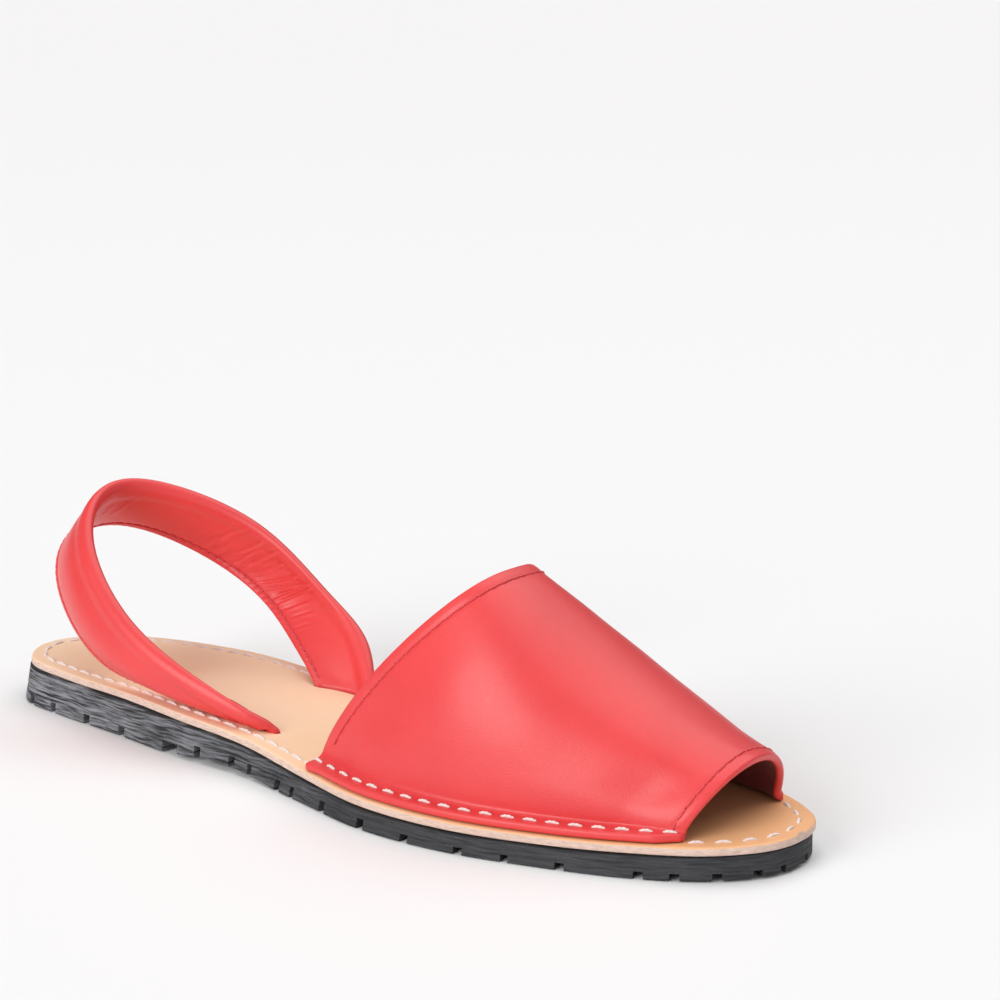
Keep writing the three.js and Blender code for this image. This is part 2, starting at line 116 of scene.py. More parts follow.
class SandalColours(bpy.types.PropertyGroup):
    red: colour("Upper leather", "Dyed leather of the vamp and strap", "#E53F40")
    red_dark: colour("Upper leather, deep", "The same dye where it gathers", "#D63438")
    flesh: colour("Upper leather, flesh side", "Undyed-through inside of the vamp", "#8A3431")
    tan: colour("Insole leather", "Grain side of the insole", "#F3D5B6")
    # The toe's deeper tan is partly the leather's own and partly painted shade from the vamp.
    tan_toe_and_shade: colour("Insole leather, deep", "Insole where the tan is stronger", "#ECB280")
    cut_edge: colour("Cut edge", "Raw fibres on the insole's edge", "#EBCDBD")
    white_thread: colour("Sole thread", "Thick white thread", "#F2E2DE")
    red_thread: colour("Topstitch thread", "Thin red thread", "#DE3C42")
    rubber: colour("Rubber", "Moulded rubber", "#1F2024")
    # Pale, dusty and bloomed rubber on the ridges; towards the heel it also paints light on the lit
    # heel side.
    rubber_dust_and_light: colour("Rubber, dusty", "Bloom on the rubber's ridges", "#8E8F94")


# Section tables.

# Half widths of the insole as shares of the ball half width, one row per length share.
OUTLINE = np.array([
    # length, outer, inner
    [0.03, 0.387, 0.344],
    [0.10, 0.505, 0.579],
    [0.20, 0.582, 0.687],
    [0.30, 0.674, 0.674],
    [0.40, 0.703, 0.628],
    [0.50, 0.849, 0.690],
    [0.60, 1.005, 0.856],
    [0.70, 1.005, 0.985],
    [0.80, 0.862, 0.933],
    [0.88, 0.692, 0.772],
    [0.95, 0.482, 0.544],
    [0.99, 0.215, 0.305],
])
HEEL_TIP = -0.044
TOE_TIP = 0.040

# Height of the insole's top as a share of its height at the heel.
RISE = np.array([
    # length, top
    [-0.02, 1.030],
    [0.15, 1.004],
    [0.28, 0.978],
    [0.34, 0.905],
    [0.40, 0.812],
    [0.46, 0.716],
    [0.52, 0.640],
    [0.66, 0.586],
    [0.82, 0.598],
    [0.94, 0.683],
    [1.02, 0.760],
])

# X as a share of the foot length, Y of the ball half width, rise of the strap's height, and how far
# the band bows outwards between its edges, in strap thicknesses.
STRAP = np.array([
    # path, foldX, foldY, foldRise, edgeX, edgeY, edgeRise, bow
    [0.000, -0.0835, -0.472, 0.008, -0.1505, -0.330, 0.008, 0.38],
    [0.060, -0.1088, -0.594, 0.086, -0.1913, -0.406, 0.052, 0.59],
    [0.125, -0.1572, -0.652, 0.182, -0.2381, -0.474, 0.056, 0.80],
    [0.250, -0.2720, -0.617, 0.418, -0.3319, -0.517, 0.111, 0.88],
    [0.375, -0.3695, -0.365, 0.768, -0.4207, -0.363, 0.404, 0.59],
    [0.500, -0.4041, 0.038, 0.992, -0.4629, -0.023, 0.644, -0.29],
    [0.625, -0.3687, 0.442, 0.963, -0.4382, 0.389, 0.688, -0.36],
    [0.750, -0.2798, 0.743, 0.746, -0.3572, 0.688, 0.516, 0.30],
    [0.875, -0.1774, 0.767, 0.426, -0.2593, 0.698, 0.275, 0.72],
    [0.940, -0.1170, 0.698, 0.245, -0.2065, 0.573, 0.132, 0.20],
    [1.000, -0.0785, 0.482, 0.008, -0.1546, 0.420, 0.008, 0.77],
])

# Half thickness of the strap across its width, in strap thicknesses: the rolled fold, the crease
# behind it, the flat of the band and the thin stitched edge.
BAND = np.array([
    # width, outer, inner
    [0.000, 0.06, 0.06],
    [0.012, 0.28, 0.30],
    [0.035, 0.44, 0.47],
    [0.080, 0.56, 0.62],
    [0.140, 0.58, 0.68],
    [0.200, 0.52, 0.66],
    [0.250, 0.47, 0.55],
    [0.300, 0.50, 0.48],
    [0.370, 0.53, 0.50],
    [0.500, 0.52, 0.51],
    [0.700, 0.46, 0.49],
    [0.820, 0.41, 0.45],
    [0.880, 0.33, 0.37],
    [0.925, 0.36, 0.40],
    [0.980, 0.33, 0.36],
    [1.000, 0.22, 0.24],
])

# Creases pressed across the strap's inner face where it turns down to its slot: path share and
# width share of both ends, how far the middle sags along the path, depth and half width.
STRAP_CREASES = np.array([
    # path, width, path, width, sag, depth, halfWidth
    [0.738, 0.62, 0.744, 0.10, 0.8, 0.130, 0.7],
    [0.768, 0.66, 0.770, 0.08, -0.6, 0.169, 0.7],
    [0.786, 0.86, 0.780, 0.30, 0.7, 0.143, 0.5],
    [0.797, 0.80, 0.794, 0.06, 0.5, 0.234, 0.6],
    [0.808, 0.88, 0.811, 0.20, -0.6, 0.221, 0.5],
    [0.825, 0.90, 0.834, 0.12, -0.9, 0.286, 0.6],
    [0.838, 0.90, 0.848, 0.14, -0.8, 0.312, 0.5],
    [0.860, 0.92, 0.852, 0.08, 0.9, 0.442, 0.6],
    [0.870, 0.92, 0.857, 0.06, 0.8, 0.338, 0.5],
    [0.882, 0.90, 0.872, 0.20, 0.7, 0.221, 0.5],
    [0.897, 0.86, 0.889, 0.40, 0.4, 0.156, 0.5],
    [0.915, 0.90, 0.908, 0.55, 0.3, 0.117, 0.5],
])

# Base and crest X are shares of the foot length; power 2 is an ellipse, higher is boxier.
VAMP = np.array([
    # run, outerBaseX, innerBaseX, crestX, crestHeight, outerPower, innerPower
    [0.00, 0.006, -0.005, 0.177, 0.984, 2.99, 2.99],
    [0.20, 0.088, 0.084, 0.229, 0.858, 2.66, 2.68],
    [0.40, 0.172, 0.173, 0.281, 0.716, 2.36, 2.40],
    [0.60, 0.256, 0.262, 0.334, 0.584, 2.12, 2.24],
    [0.80, 0.341, 0.350, 0.391, 0.477, 1.94, 2.20],
    [1.00, 0.423, 0.435, 0.450, 0.407, 1.67, 2.10],
])
# The flange in millimetres, its shares at the mouth, and the wall's shape above it.
FLANGE_WIDTH = 5.2
FLANGE_INSET = 1.1
MOUTH_FLANGE = 0.6
MOUTH_CORNER = 1.8
FOLD_RADIUS = 2.4
TOPLINE_SWEEP = 1.32
WALL_START = 0.05
# How far the vamp's rim bulges, and 1 for an elliptical rim or less for a squarer one.
RIM = 0.7
RIM_POWER = 0.7

# Soft hand-made unevenness of the vamp: where, how far it reaches and how deep it goes.
VAMP_DENTS = np.array([
    # run, round, runReach, roundReach, depth
    [0.84, 0.20, 0.10, 0.08, -0.8],
    [0.72, 0.36, 0.20, 0.10, 0.5],
    [0.16, 0.14, 0.10, 0.10, -0.5],
    [0.62, 0.20, 0.16, 0.10, -0.6],
    [0.36, 0.30, 0.14, 0.12, 0.4],
    [0.30, 0.80, 0.20, 0.10, -0.4],
])

# Tread slots that open on each edge: where, by length share, and how wide in slot widths.
TREAD_OUTER = [
    (0.018, 0.8), (0.051, 1.0), (0.091, 1.0), (0.151, 1.1), (0.211, 1.2), (0.295, 2.6),
    (0.337, 1.0), (0.387, 1.0), (0.415, 0.8), (0.463, 1.0), (0.488, 0.7), (0.540, 1.0),
    (0.601, 1.0), (0.658, 1.0), (0.719, 1.0), (0.766, 0.8), (0.819, 1.0), (0.890, 1.0),
    (0.922, 1.0), (0.957, 1.0), (0.985, 1.0),
]
TREAD_INNER = [(0.06 * k, {3: 1.1, 5: 1.6}.get(k, 1.0)) for k in range(1, 15)]
TREAD_INNER += [(0.895, 1.0), (0.935, 1.0), (0.965, 1.0)]
# Round the toe tip the place is a share of the ball half width.
TREAD_TIP = [(-0.105, 0.7), (0.135, 0.7)]
# Share of the half width that a slot reaches in, and millimetres that its cutter stands out.
SLOT_REACH = 0.55
SLOT_OVERHANG = 2
# The strap's pocket in the sole, and how far its cutter stands over it, in millimetres.
POCKET_DEPTH = 2.4
SLOT_RISE = 3
# How deep the red seams pull the leather in, in millimetres.
SEAM_SINK = 0.10
# Share of the full stitch length on the flange, and on the insole's heel and toe.
FLANGE_STRETCH = 0.74
HEEL_STRETCH = 1.0
TOE_STRETCH = 0.78
# Shares of the strap's path over which its ends stand upright and grow thin.
UPRIGHT_SHARE = 0.03
THIN_SHARE = 0.04
END_THICKNESS = 0.85
# Ridge and hollow along the near leg: height in millimetres, and place and reach by width share.
STRAP_RIDGE = ((0.55, 0.58, 0.22), (-0.28, 0.24, 0.09))
# How far the rubber stands out at its foot, is tucked in at the toe and leaves the ground, in
# millimetres, and the shares of the length where that happens.
OUTSOLE_FLARE = 1.4
HEEL_FLARE = 2.2
TOE_TUCK = 0.7
ARCH_RISE = 1.7
ARCH_SPAN = (0.27, 0.35, 0.36, 0.48)
TOE_SPRING = 0.8
SPRING_START = 0.88
# Bends of the moulded lines: size in millimetres along, across and up, seed, and line pitches.
BARK_BENDS = (((48, 48, 40), 1.0, 1.6), ((13, 13, 5), 4.0, 0.4), ((4.0, 4.0, 1.4), 9.0, 0.30))
# The insole's edge from below: outwards in millimetres, flare, and share of the thickness.
INSOLE_FLANK = [(-0.3, 0, 0.0), (-0.05, 0, 0.10), (0, 0, 0.25), (0.02, 0, 0.5), (0, 0, 0.70),
                (-0.08, 0, 0.86), (-0.28, 0, 0.965), (-0.7, 0, 1.0)]

# Grain that breaks the moulded lines up, coarse and fine, and how the lines weaken from heel to
# toe: the share that is left, and the length shares between which it falls.
BARK_GRAIN = (9, 9, 0.75)
BARK_FINE_GRAIN = (3.2, 3.2, 0.5)
BARK_TOE = 0.35
BARK_FADE = (0.45, 0.62)
# Tread slots towards the toe: the share of their height that is left, and where it falls.
SLOT_TOE_HEIGHT = 0.62
SLOT_FADE = (0.05, 0.20)
SLOT_WIDTH = 0.85
# Cells and depths in millimetres of the soft unevenness: vamp, cut edge of the insole, strap.
VAMP_WAVE, VAMP_WAVE_DEPTH = (26, 26, 26), 0.35
EDGE_NAP, EDGE_NAP_DEPTH = (3.5, 3.5, 2.5), 0.14
STRAP_WAVE, STRAP_WAVE_DEPTH = (9, 14, 1), 0.10
WRINKLES, FINE_WRINKLES, WRINKLE_PATCHES, WRINKLE_DEPTH = (2.6, 9, 1), (1.2, 4, 1), (12, 9, 1), 0.38
# How deep the strap's thread pulls the leather in, and how far it swells beside the thread.
THREAD_PULL, QUILT_SWELL = 0.14, 0.12
# Millimetres that the sole stitches keep from the vamp's topline and mouth.
WELT_CLEAR, TOPLINE_CLEAR, MOUTH_CLEAR = 2, 1.5, 3.2
# Millimetres between two topstitches, and shares of the thread for its sink and its holes.
TOP_SPACE, TOP_SINK, TOP_HOLE, WELT_SINK = 0.5, 0.3, 0.36, 0.5
# Edges sharper than these angles in degrees stay sharp.
SHARP_RUBBER, SHARP_INSOLE, SHARP_STRAP = 38, 50, 60

# How finely the pieces are drawn: points, stations and lanes, rows, and steps.
LOOP_POINTS = 1440
OUTSOLE_GRID = (360, 6)
INSOLE_GRID = (340, 26)
OUTSOLE_ROWS = 46
PLATE_END = 0.012
VAMP_ROWS = 190
FLANGE_STEPS = 6
FOLD_STEPS = 7
ARCH_STEPS = 56
RIM_STEPS = 5
BAND_SAMPLES = 44
PATH_STEP = 0.004
# Rings on each stretch of the strap's path, closest where it is creased.
STRAP_SPANS = ((0, 0.72, 230), (0.72, 0.92, 200), (0.92, 1, 50))

# The stage: suns by name, place, spread in degrees and strength; paper in linear colours,
# lighter near the sandal as a painted pool of the studio light.
SUNS = (("front key", (-0.15, -0.90, 0.40), 40, 2.1),
        ("toe fill", (0.80, -0.45, 0.50), 50, 0.3),
        ("overhead fill", (0.05, 0.30, 1), 75, 2.0))
SKY = "#FBF9FA"
SKY_STRENGTH = 0.20
PAPER_NEAR = (0.865, 0.865, 0.865)
PAPER_FAR = (0.85, 0.84, 0.845)
FLOOR_RADIUS = 9.0
CAMERA_LENS = 95.11
CAMERA_PLACE = (0.42461, -0.49978, 0.21931)
CAMERA_TARGET = (0.0030, 0.0446, 0.0637)


# Curves and shapes.

def mix(a, b, t):
    return a + (b - a) * t


def smooth(a, b, x):
    t = np.clip((np.asarray(x, float) - a) / (b - a), 0, 1)
    return t * t * (3 - 2 * t)


def inside(a, b, x):
    """Rises from a to b after 0 and falls in the same way before 1."""
    return smooth(a, b, x) * smooth(a, b, 1 - x)


def bell(x, middle, reach):
    return np.exp(-((x - middle) / reach) ** 2)


def unit(v):
    return v / np.maximum(np.linalg.norm(v, axis=-1, keepdims=True), 1e-12)


def steps(line, axis=0):
    """Lengths between the points that follow each other along an axis."""
    return np.linalg.norm(np.diff(line, axis=axis), axis=-1)


def soften(line, reach, spread):
    """Soft moving average of a line that carries reach spare points at each end."""
    kernel = np.exp(-0.5 * (np.arange(-reach, reach + 1) / spread) ** 2)
    return np.convolve(line, kernel / kernel.sum(), "valid")


def spline_table(rows):
    """Natural cubic spline through the columns of a table, column 0 being the parameter."""
    x, y = rows[:, 0], rows[:, 1:]
    n = len(x)
    h = np.diff(x)
    m = np.eye(n)
    rhs = np.zeros_like(y)
    for i in range(1, n - 1):
        m[i, i - 1:i + 2] = h[i - 1] / 6, (h[i - 1] + h[i]) / 3, h[i] / 6
        rhs[i] = (y[i + 1] - y[i]) / h[i] - (y[i] - y[i - 1]) / h[i - 1]
    bend = np.linalg.solve(m, rhs)

    def at(t):
        t = np.atleast_1d(np.asarray(t, float))
        k = np.clip(np.searchsorted(x, t) - 1, 0, n - 2)
        step = (x[k + 1] - x[k])[:, None]
        a = (x[k + 1] - t)[:, None] / step
        b = 1 - a
        cubic = ((a ** 3 - a) * bend[k] + (b ** 3 - b) * bend[k + 1]) * step ** 2 / 6
        return a * y[k] + b * y[k + 1] + cubic

    return at


def creases(table, travel, aside, place):
    """Troughs with a soft lip beside each, over a face unrolled to millimetres.

    Travel and aside place each point along and across the face; place turns a row's shares into
    the same millimetres.
    """
    height = np.zeros(np.broadcast_shapes(travel.shape, aside.shape))
    for path0, width0, path1, width1, sag, depth, half in table:
        a, b = np.array(place(path0, width0)), np.array(place(path1, width1))
        long = np.linalg.norm(b - a)
        way = (b - a) / long
        k = ((travel - a[0]) * way[0] + (aside - a[1]) * way[1]) / long
        side = (aside - a[1]) * way[0] - (travel - a[0]) * way[1] + sag * 4 * k * (1 - k)
        lip = 0.6 * bell(side, 1.9 * half, 1.1 * half)
        height += depth * inside(0, 0.25, k) * (lip - bell(side, 0, half))
    return height


def rounded_table(rows, samples):
    """A table drawn through its rows without overshoot, for profiles across a band."""
    t = np.linspace(0, 1, samples)
    t = mix(t, 0.5 - 0.5 * np.cos(np.pi * t), 0.55)
    fine = np.linspace(0, 1, 2001)
    keep = smooth(0.0, 0.05, fine) * smooth(0.0, 0.02, 1 - fine)
    columns = []
    for c in range(1, rows.shape[1]):
        line = np.interp(fine, rows[:, 0], rows[:, c])
        head, tail = 2 * line[0] - line[60:0:-1], 2 * line[-1] - line[-2:-62:-1]
        soft = soften(np.concatenate([head, line, tail]), 60, 18)
        columns.append(np.interp(t, fine, mix(line, soft, keep)))
    return t, columns


class Last:
    """The sole's outline and heights, in millimetres, from the scene's sizes."""

    def __init__(self, sizes):
        self.foot = sizes.foot_length / MM
        self.ball = sizes.ball_half / MM
        self.gap = sizes.fit_gap / MM
        self.insole = sizes.insole_thick / MM
        self.heel_top = sizes.heel_height / MM + self.gap + self.insole
        self.rise = spline_table(RISE)
        self.loop = self.outline()
        self.cache = {}

    def outline(self):
        """Centripetal curve through the table's points, spaced evenly along its length."""
        rows = [(0, HEEL_TIP), *((s, -outer) for s, outer, _ in OUTLINE),
                (1, TOE_TIP), *((s, inner) for s, _, inner in OUTLINE[::-1])]
        p = np.array([((s - 0.5) * self.foot, y * self.ball) for s, y in rows])
        fine = []
        w = np.linspace(0, 1, 120, endpoint=False)[:, None]
        for k in range(len(p)):
            a, b, c, d = (p[(k + j - 1) % len(p)] for j in range(4))
            da, db, dc = (math.sqrt(np.linalg.norm(v)) for v in (b - a, c - b, d - c))
            t1 = ((b - a) / da - (c - a) / (da + db) + (c - b) / db) * db
            t2 = ((c - b) / db - (d - b) / (db + dc) + (d - c) / dc) * db
            fine.append(b + t1 * w + (-3 * b + 3 * c - 2 * t1 - t2) * w ** 2
                        + (2 * b - 2 * c + t1 + t2) * w ** 3)
        fine = np.vstack(fine)
        closed = np.vstack([fine, fine[:1]])
        run = np.concatenate([[0], np.cumsum(steps(closed))])
        at = np.linspace(0, run[-1], LOOP_POINTS, endpoint=False)
        loop = np.stack([np.interp(at, run, closed[:, k]) for k in (0, 1)], 1)
        wrapped = np.vstack([loop[-20:], loop, loop[:20]])
        return np.stack([soften(wrapped[:, k], 20, 5) for k in (0, 1)], 1)

    def offset(self, grow):
        """The insole's outline moved outwards, or inwards where the distance is negative."""
        run = unit(np.roll(self.loop, -4, 0) - np.roll(self.loop, 4, 0))
        return self.loop + np.stack([run[:, 1], -run[:, 0]], 1) * grow

    def sides(self, grow):
        """The outer and the inner half of the moved outline, each from heel to toe."""
        key = round(float(grow), 4)
        if key not in self.cache:
            grown = self.offset(grow)
            toe, heel = int(np.argmax(grown[:, 0])), int(np.argmin(grown[:, 0]))
            n = len(grown)
            outer = grown[[(heel + i) % n for i in range((toe - heel) % n + 1)]]
            inner = grown[[(toe + i) % n for i in range((heel - toe) % n + 1)]][::-1]
            for line in (outer, inner):
                line[:, 0] = np.maximum.accumulate(line[:, 0])
            self.cache[key] = {"outer": outer, "inner": inner}
        return self.cache[key]

    def y_at(self, side, x, grow):
        line = self.sides(grow)[side]
        return np.interp(x, line[:, 0], line[:, 1])

    def point(self, side, share, grow):
        line = self.sides(grow)[side]
        x = mix(line[0, 0], line[-1, 0], np.asarray(share, float))
        return np.stack([x, self.y_at(side, x, grow)], -1)

    def top(self, x):
        shape = np.shape(x)
        return self.rise(np.ravel(x) / self.foot + 0.5)[:, 0].reshape(shape) * self.heel_top

    def bottom(self, x):
        s = np.asarray(x, float) / self.foot + 0.5
        rise0, rise1, fall0, fall1 = ARCH_SPAN
        arch = ARCH_RISE * smooth(rise0, rise1, s) * (1 - smooth(fall0, fall1, s))
        return arch + TOE_SPRING * np.maximum(0, (s - SPRING_START) / (1 - SPRING_START)) ** 2

    @staticmethod
    def flare(share, amount=1.0):
        """How far the rubber stands out from the insole's edge, at its foot for an amount of 1."""
        toe = smooth(0.86, 1, share)
        flare = mix(HEEL_FLARE, OUTSOLE_FLARE, smooth(0, 0.15, share)) * (1 - toe)
        return amount * flare - TOE_TUCK * toe


def noise_at(points, cell, seed):
    """Smooth noise from -1 to 1 at each point, with cells of about the given millimetres."""
    shift = Vector((seed * 13.1, seed * 7.7, seed * 3.3))
    p = np.asarray(points, float).reshape(-1, 3) / np.asarray(cell, float)
    return np.array([noise.noise(Vector(v) + shift) for v in p]).reshape(np.shape(points)[:-1])


# Meshes and objects.

def grid_faces(rows, columns, closed_columns=False, offset=0):
    faces = []
    for r in range(rows - 1):
        for c in range(columns if closed_columns else columns - 1):
            a = offset + r * columns + c
            b = offset + r * columns + (c + 1) % columns
            faces.append((a, b, b + columns, a + columns))
    return faces


def add_object(name, data):
    obj = bpy.data.objects.new(name, data)
    bpy.context.scene.collection.objects.link(obj)
    return obj


def make_mesh(name, points, faces, materials, slots=None):
    """A closed mesh in metres from points in millimetres, with its faces turned outwards."""
    mesh = bpy.data.meshes.new(name)
    mesh.from_pydata((np.asarray(points) * MM).tolist(), [], faces)
    for material in materials:
        mesh.materials.append(material)
    if slots is not None:
        mesh.polygons.foreach_set("material_index", slots)
    mesh.update()
    if signed_volume(mesh) < 0:
        mesh.flip_normals()
    mesh.polygons.foreach_set("use_smooth", [True] * len(mesh.polygons))
    mesh.validate()
    return add_object(name, mesh)


def signed_volume(mesh):
    mesh.calc_loop_triangles()
    co = np.empty(len(mesh.vertices) * 3)
    mesh.vertices.foreach_get("co", co)
    tri = np.empty(len(mesh.loop_triangles) * 3, int)
    mesh.loop_triangles.foreach_get("vertices", tri)
    a, b, c = (co.reshape(-1, 3)[tri.reshape(-1, 3)[:, k]] for k in range(3))
    return float(np.sum(np.cross(a, b) * c)) / 6


def tube_object(name, rings, materials):
    """Closed rings one after the other, capped at both ends."""
    count, around = rings.shape[:2]
    faces = grid_faces(count, around, closed_columns=True)
    faces.append(tuple(range(around))[::-1])
    faces.append(tuple(range((count - 1) * around, count * around)))
    return make_mesh(name, rings.reshape(-1, 3), faces, materials)


def as_plain_mesh(obj, name):
    """The object with its modifiers worked out, as a plain mesh of its own at the origin."""
    graph = bpy.context.evaluated_depsgraph_get()
    graph.update()
    mesh = bpy.data.meshes.new_from_object(obj.evaluated_get(graph))
    bpy.data.objects.remove(obj)
    mesh.name = name
    if len(mesh.polygons) == 0:
        raise RuntimeError(f"{name} came out empty")
    return add_object(name, mesh)


def from_nodes(name, points, edges, attributes, tree, values):
    """What a Geometry Nodes tree makes of points in millimetres, as one plain mesh. Each attribute
    has a vector for each point."""
    mesh = bpy.data.meshes.new(name)
    mesh.from_pydata((np.asarray(points) * MM).tolist(), edges, [])
    for key, vectors in attributes.items():
        attribute = mesh.attributes.new(key, "FLOAT_VECTOR", "POINT")
        attribute.data.foreach_set("vector", np.ravel(vectors))
    obj = add_object(name, mesh)
    modifier = obj.modifiers.new(name, "NODES")
    modifier.node_group = tree
    for item in tree.interface.items_tree:
        if item.in_out == "INPUT" and item.name in values:
            modifier[item.identifier] = values[item.name]
    return as_plain_mesh(obj, name)


def cut(obj, cutter, name):
    """Takes the cutter away from the piece."""
    modifier = obj.modifiers.new("cut", "BOOLEAN")
    modifier.operation = "DIFFERENCE"
    modifier.solver = "EXACT"
    modifier.object = cutter
    plain = as_plain_mesh(obj, name)
    bpy.data.objects.remove(cutter)
    return plain


# Plates of the sole.

def plate_rings(last, flank, height_at, grow_at, stations, lanes):
    """Section rings across the foot: underside, inner flank up, top, outer flank down."""
    t = np.linspace(PLATE_END, 1 - PLATE_END, stations)
    share = mix(0.5 - 0.5 * np.cos(np.pi * t), np.linspace(0, 1, stations), 0.10)

    def edge(side, row):
        grow, flare, up = row
        grows = np.round((grow + grow_at(share, flare) + 0 * share) * 50) / 50
        point = np.array([last.point(side, s, g) for s, g in zip(share, grows)])
        return np.column_stack([point, height_at(point[:, 0], up)])

    def lane_rows(row):
        a, b = edge("outer", row), edge("inner", row)
        rows = [mix(a, b, k / lanes) for k in range(lanes + 1)]
        for p in rows:
            p[:, 2] = height_at(p[:, 0], row[2])
        return rows

    inner = [edge("inner", row) for row in flank[1:-1]]
    outer = [edge("outer", row) for row in flank[1:-1]]
    columns = lane_rows(flank[0]) + inner + lane_rows(flank[-1])[::-1] + outer[::-1]
    kinds = [0] * (lanes + 1) + [1] * len(inner) + [2] * (lanes + 1) + [3] * len(outer)
    return np.stack(columns, 1), np.array(kinds), share


# Heel strap sections.

class Strap:
    """Rings of the folded strap along its path."""

    def __init__(self, last, sizes):
        self.last = last
        self.thick = sizes.strap_thick / MM
        self.span = sizes.strap_top / MM - last.heel_top
        self.depth = last.insole + 2 * last.gap + POCKET_DEPTH
        self.table = spline_table(STRAP)

    def edges(self, t):
        fx, fy, fz, ex, ey, ez, bow = self.table(np.clip(t, 0, 1)).T
        last = self.last
        fold = np.stack([fx * last.foot, fy * last.ball, fz], 1)
        edge = np.stack([ex * last.foot, ey * last.ball, ez], 1)
        for p in (fold, edge):
            p[:, 2] = last.top(p[:, 0]) + last.gap + p[:, 2] * self.span
        return fold, edge, bow * self.thick

    def frame(self, t):
        """Fold point, across, outwards, width, bow and thickness at each share of the path."""
        t = np.atleast_1d(np.asarray(t, float))
        fold, edge, bow = self.edges(t)
        ahead, behind = self.edges(t + PATH_STEP), self.edges(t - PATH_STEP)
        run = unit(ahead[0] + ahead[1] - behind[0] - behind[1])
        from_end = np.minimum(t, 1 - t)
        upright = (1 - smooth(0, UPRIGHT_SHARE, from_end))[:, None]
        down = np.where(t[:, None] < 0.5, 1.0, -1.0) * np.array([0, 0, 1.0])
        run = unit(mix(run, down, upright))
        across = edge - fold
        width = np.linalg.norm(across, axis=1)
        across = unit(across)
        out = unit(np.cross(run, across))
        thick = self.thick * mix(END_THICKNESS, 1, smooth(0, THIN_SHARE, from_end))
        return fold, across, out, width, bow, thick

    def rings(self, t, profile, grow=0.0):
        share, (outer, inner) = profile
        fold, across, out, width, bow, thick = self.frame(t)
        rows = []
        for face, half in ((1, outer), (-1, inner)):
            along = mix(-grow, width[:, None] + grow, share[None])
            w = along / width[:, None]
            off = bow[:, None] * 4 * w * (1 - w) + face * (half[None] * thick[:, None] + grow)
            p = fold[:, None] + across[:, None] * along[..., None] + out[:, None] * off[..., None]
            rows.append(p if face > 0 else p[:, ::-1])
        rings = np.concatenate(rows, 1)
        for k in np.where((np.asarray(t) <= 0) | (np.asarray(t) >= 1))[0]:
            rings[k, :, 2] = self.last.top(rings[k, :, 0]) + self.last.gap
        return rings

    def cut_slots(self, body, name):
        """Opens the two slots of the strap's ends in a plate, wider by the clearance."""
        share = np.linspace(0, 1, 12)
        half = 0.60 * np.sqrt(np.clip(1 - (2 * share - 1) ** 6, 0.05, 1))
        for t in (0.0, 1.0):
            top = self.rings([t], (share, (half, half)), grow=self.last.gap)[0]
            bottom = top.copy()
            top[:, 2] += SLOT_RISE
            bottom[:, 2] -= self.depth + self.last.gap
            body = cut(body, tube_object("slot_cutter", np.stack([bottom, top]), []), name)
        return body


# Vamp sections.

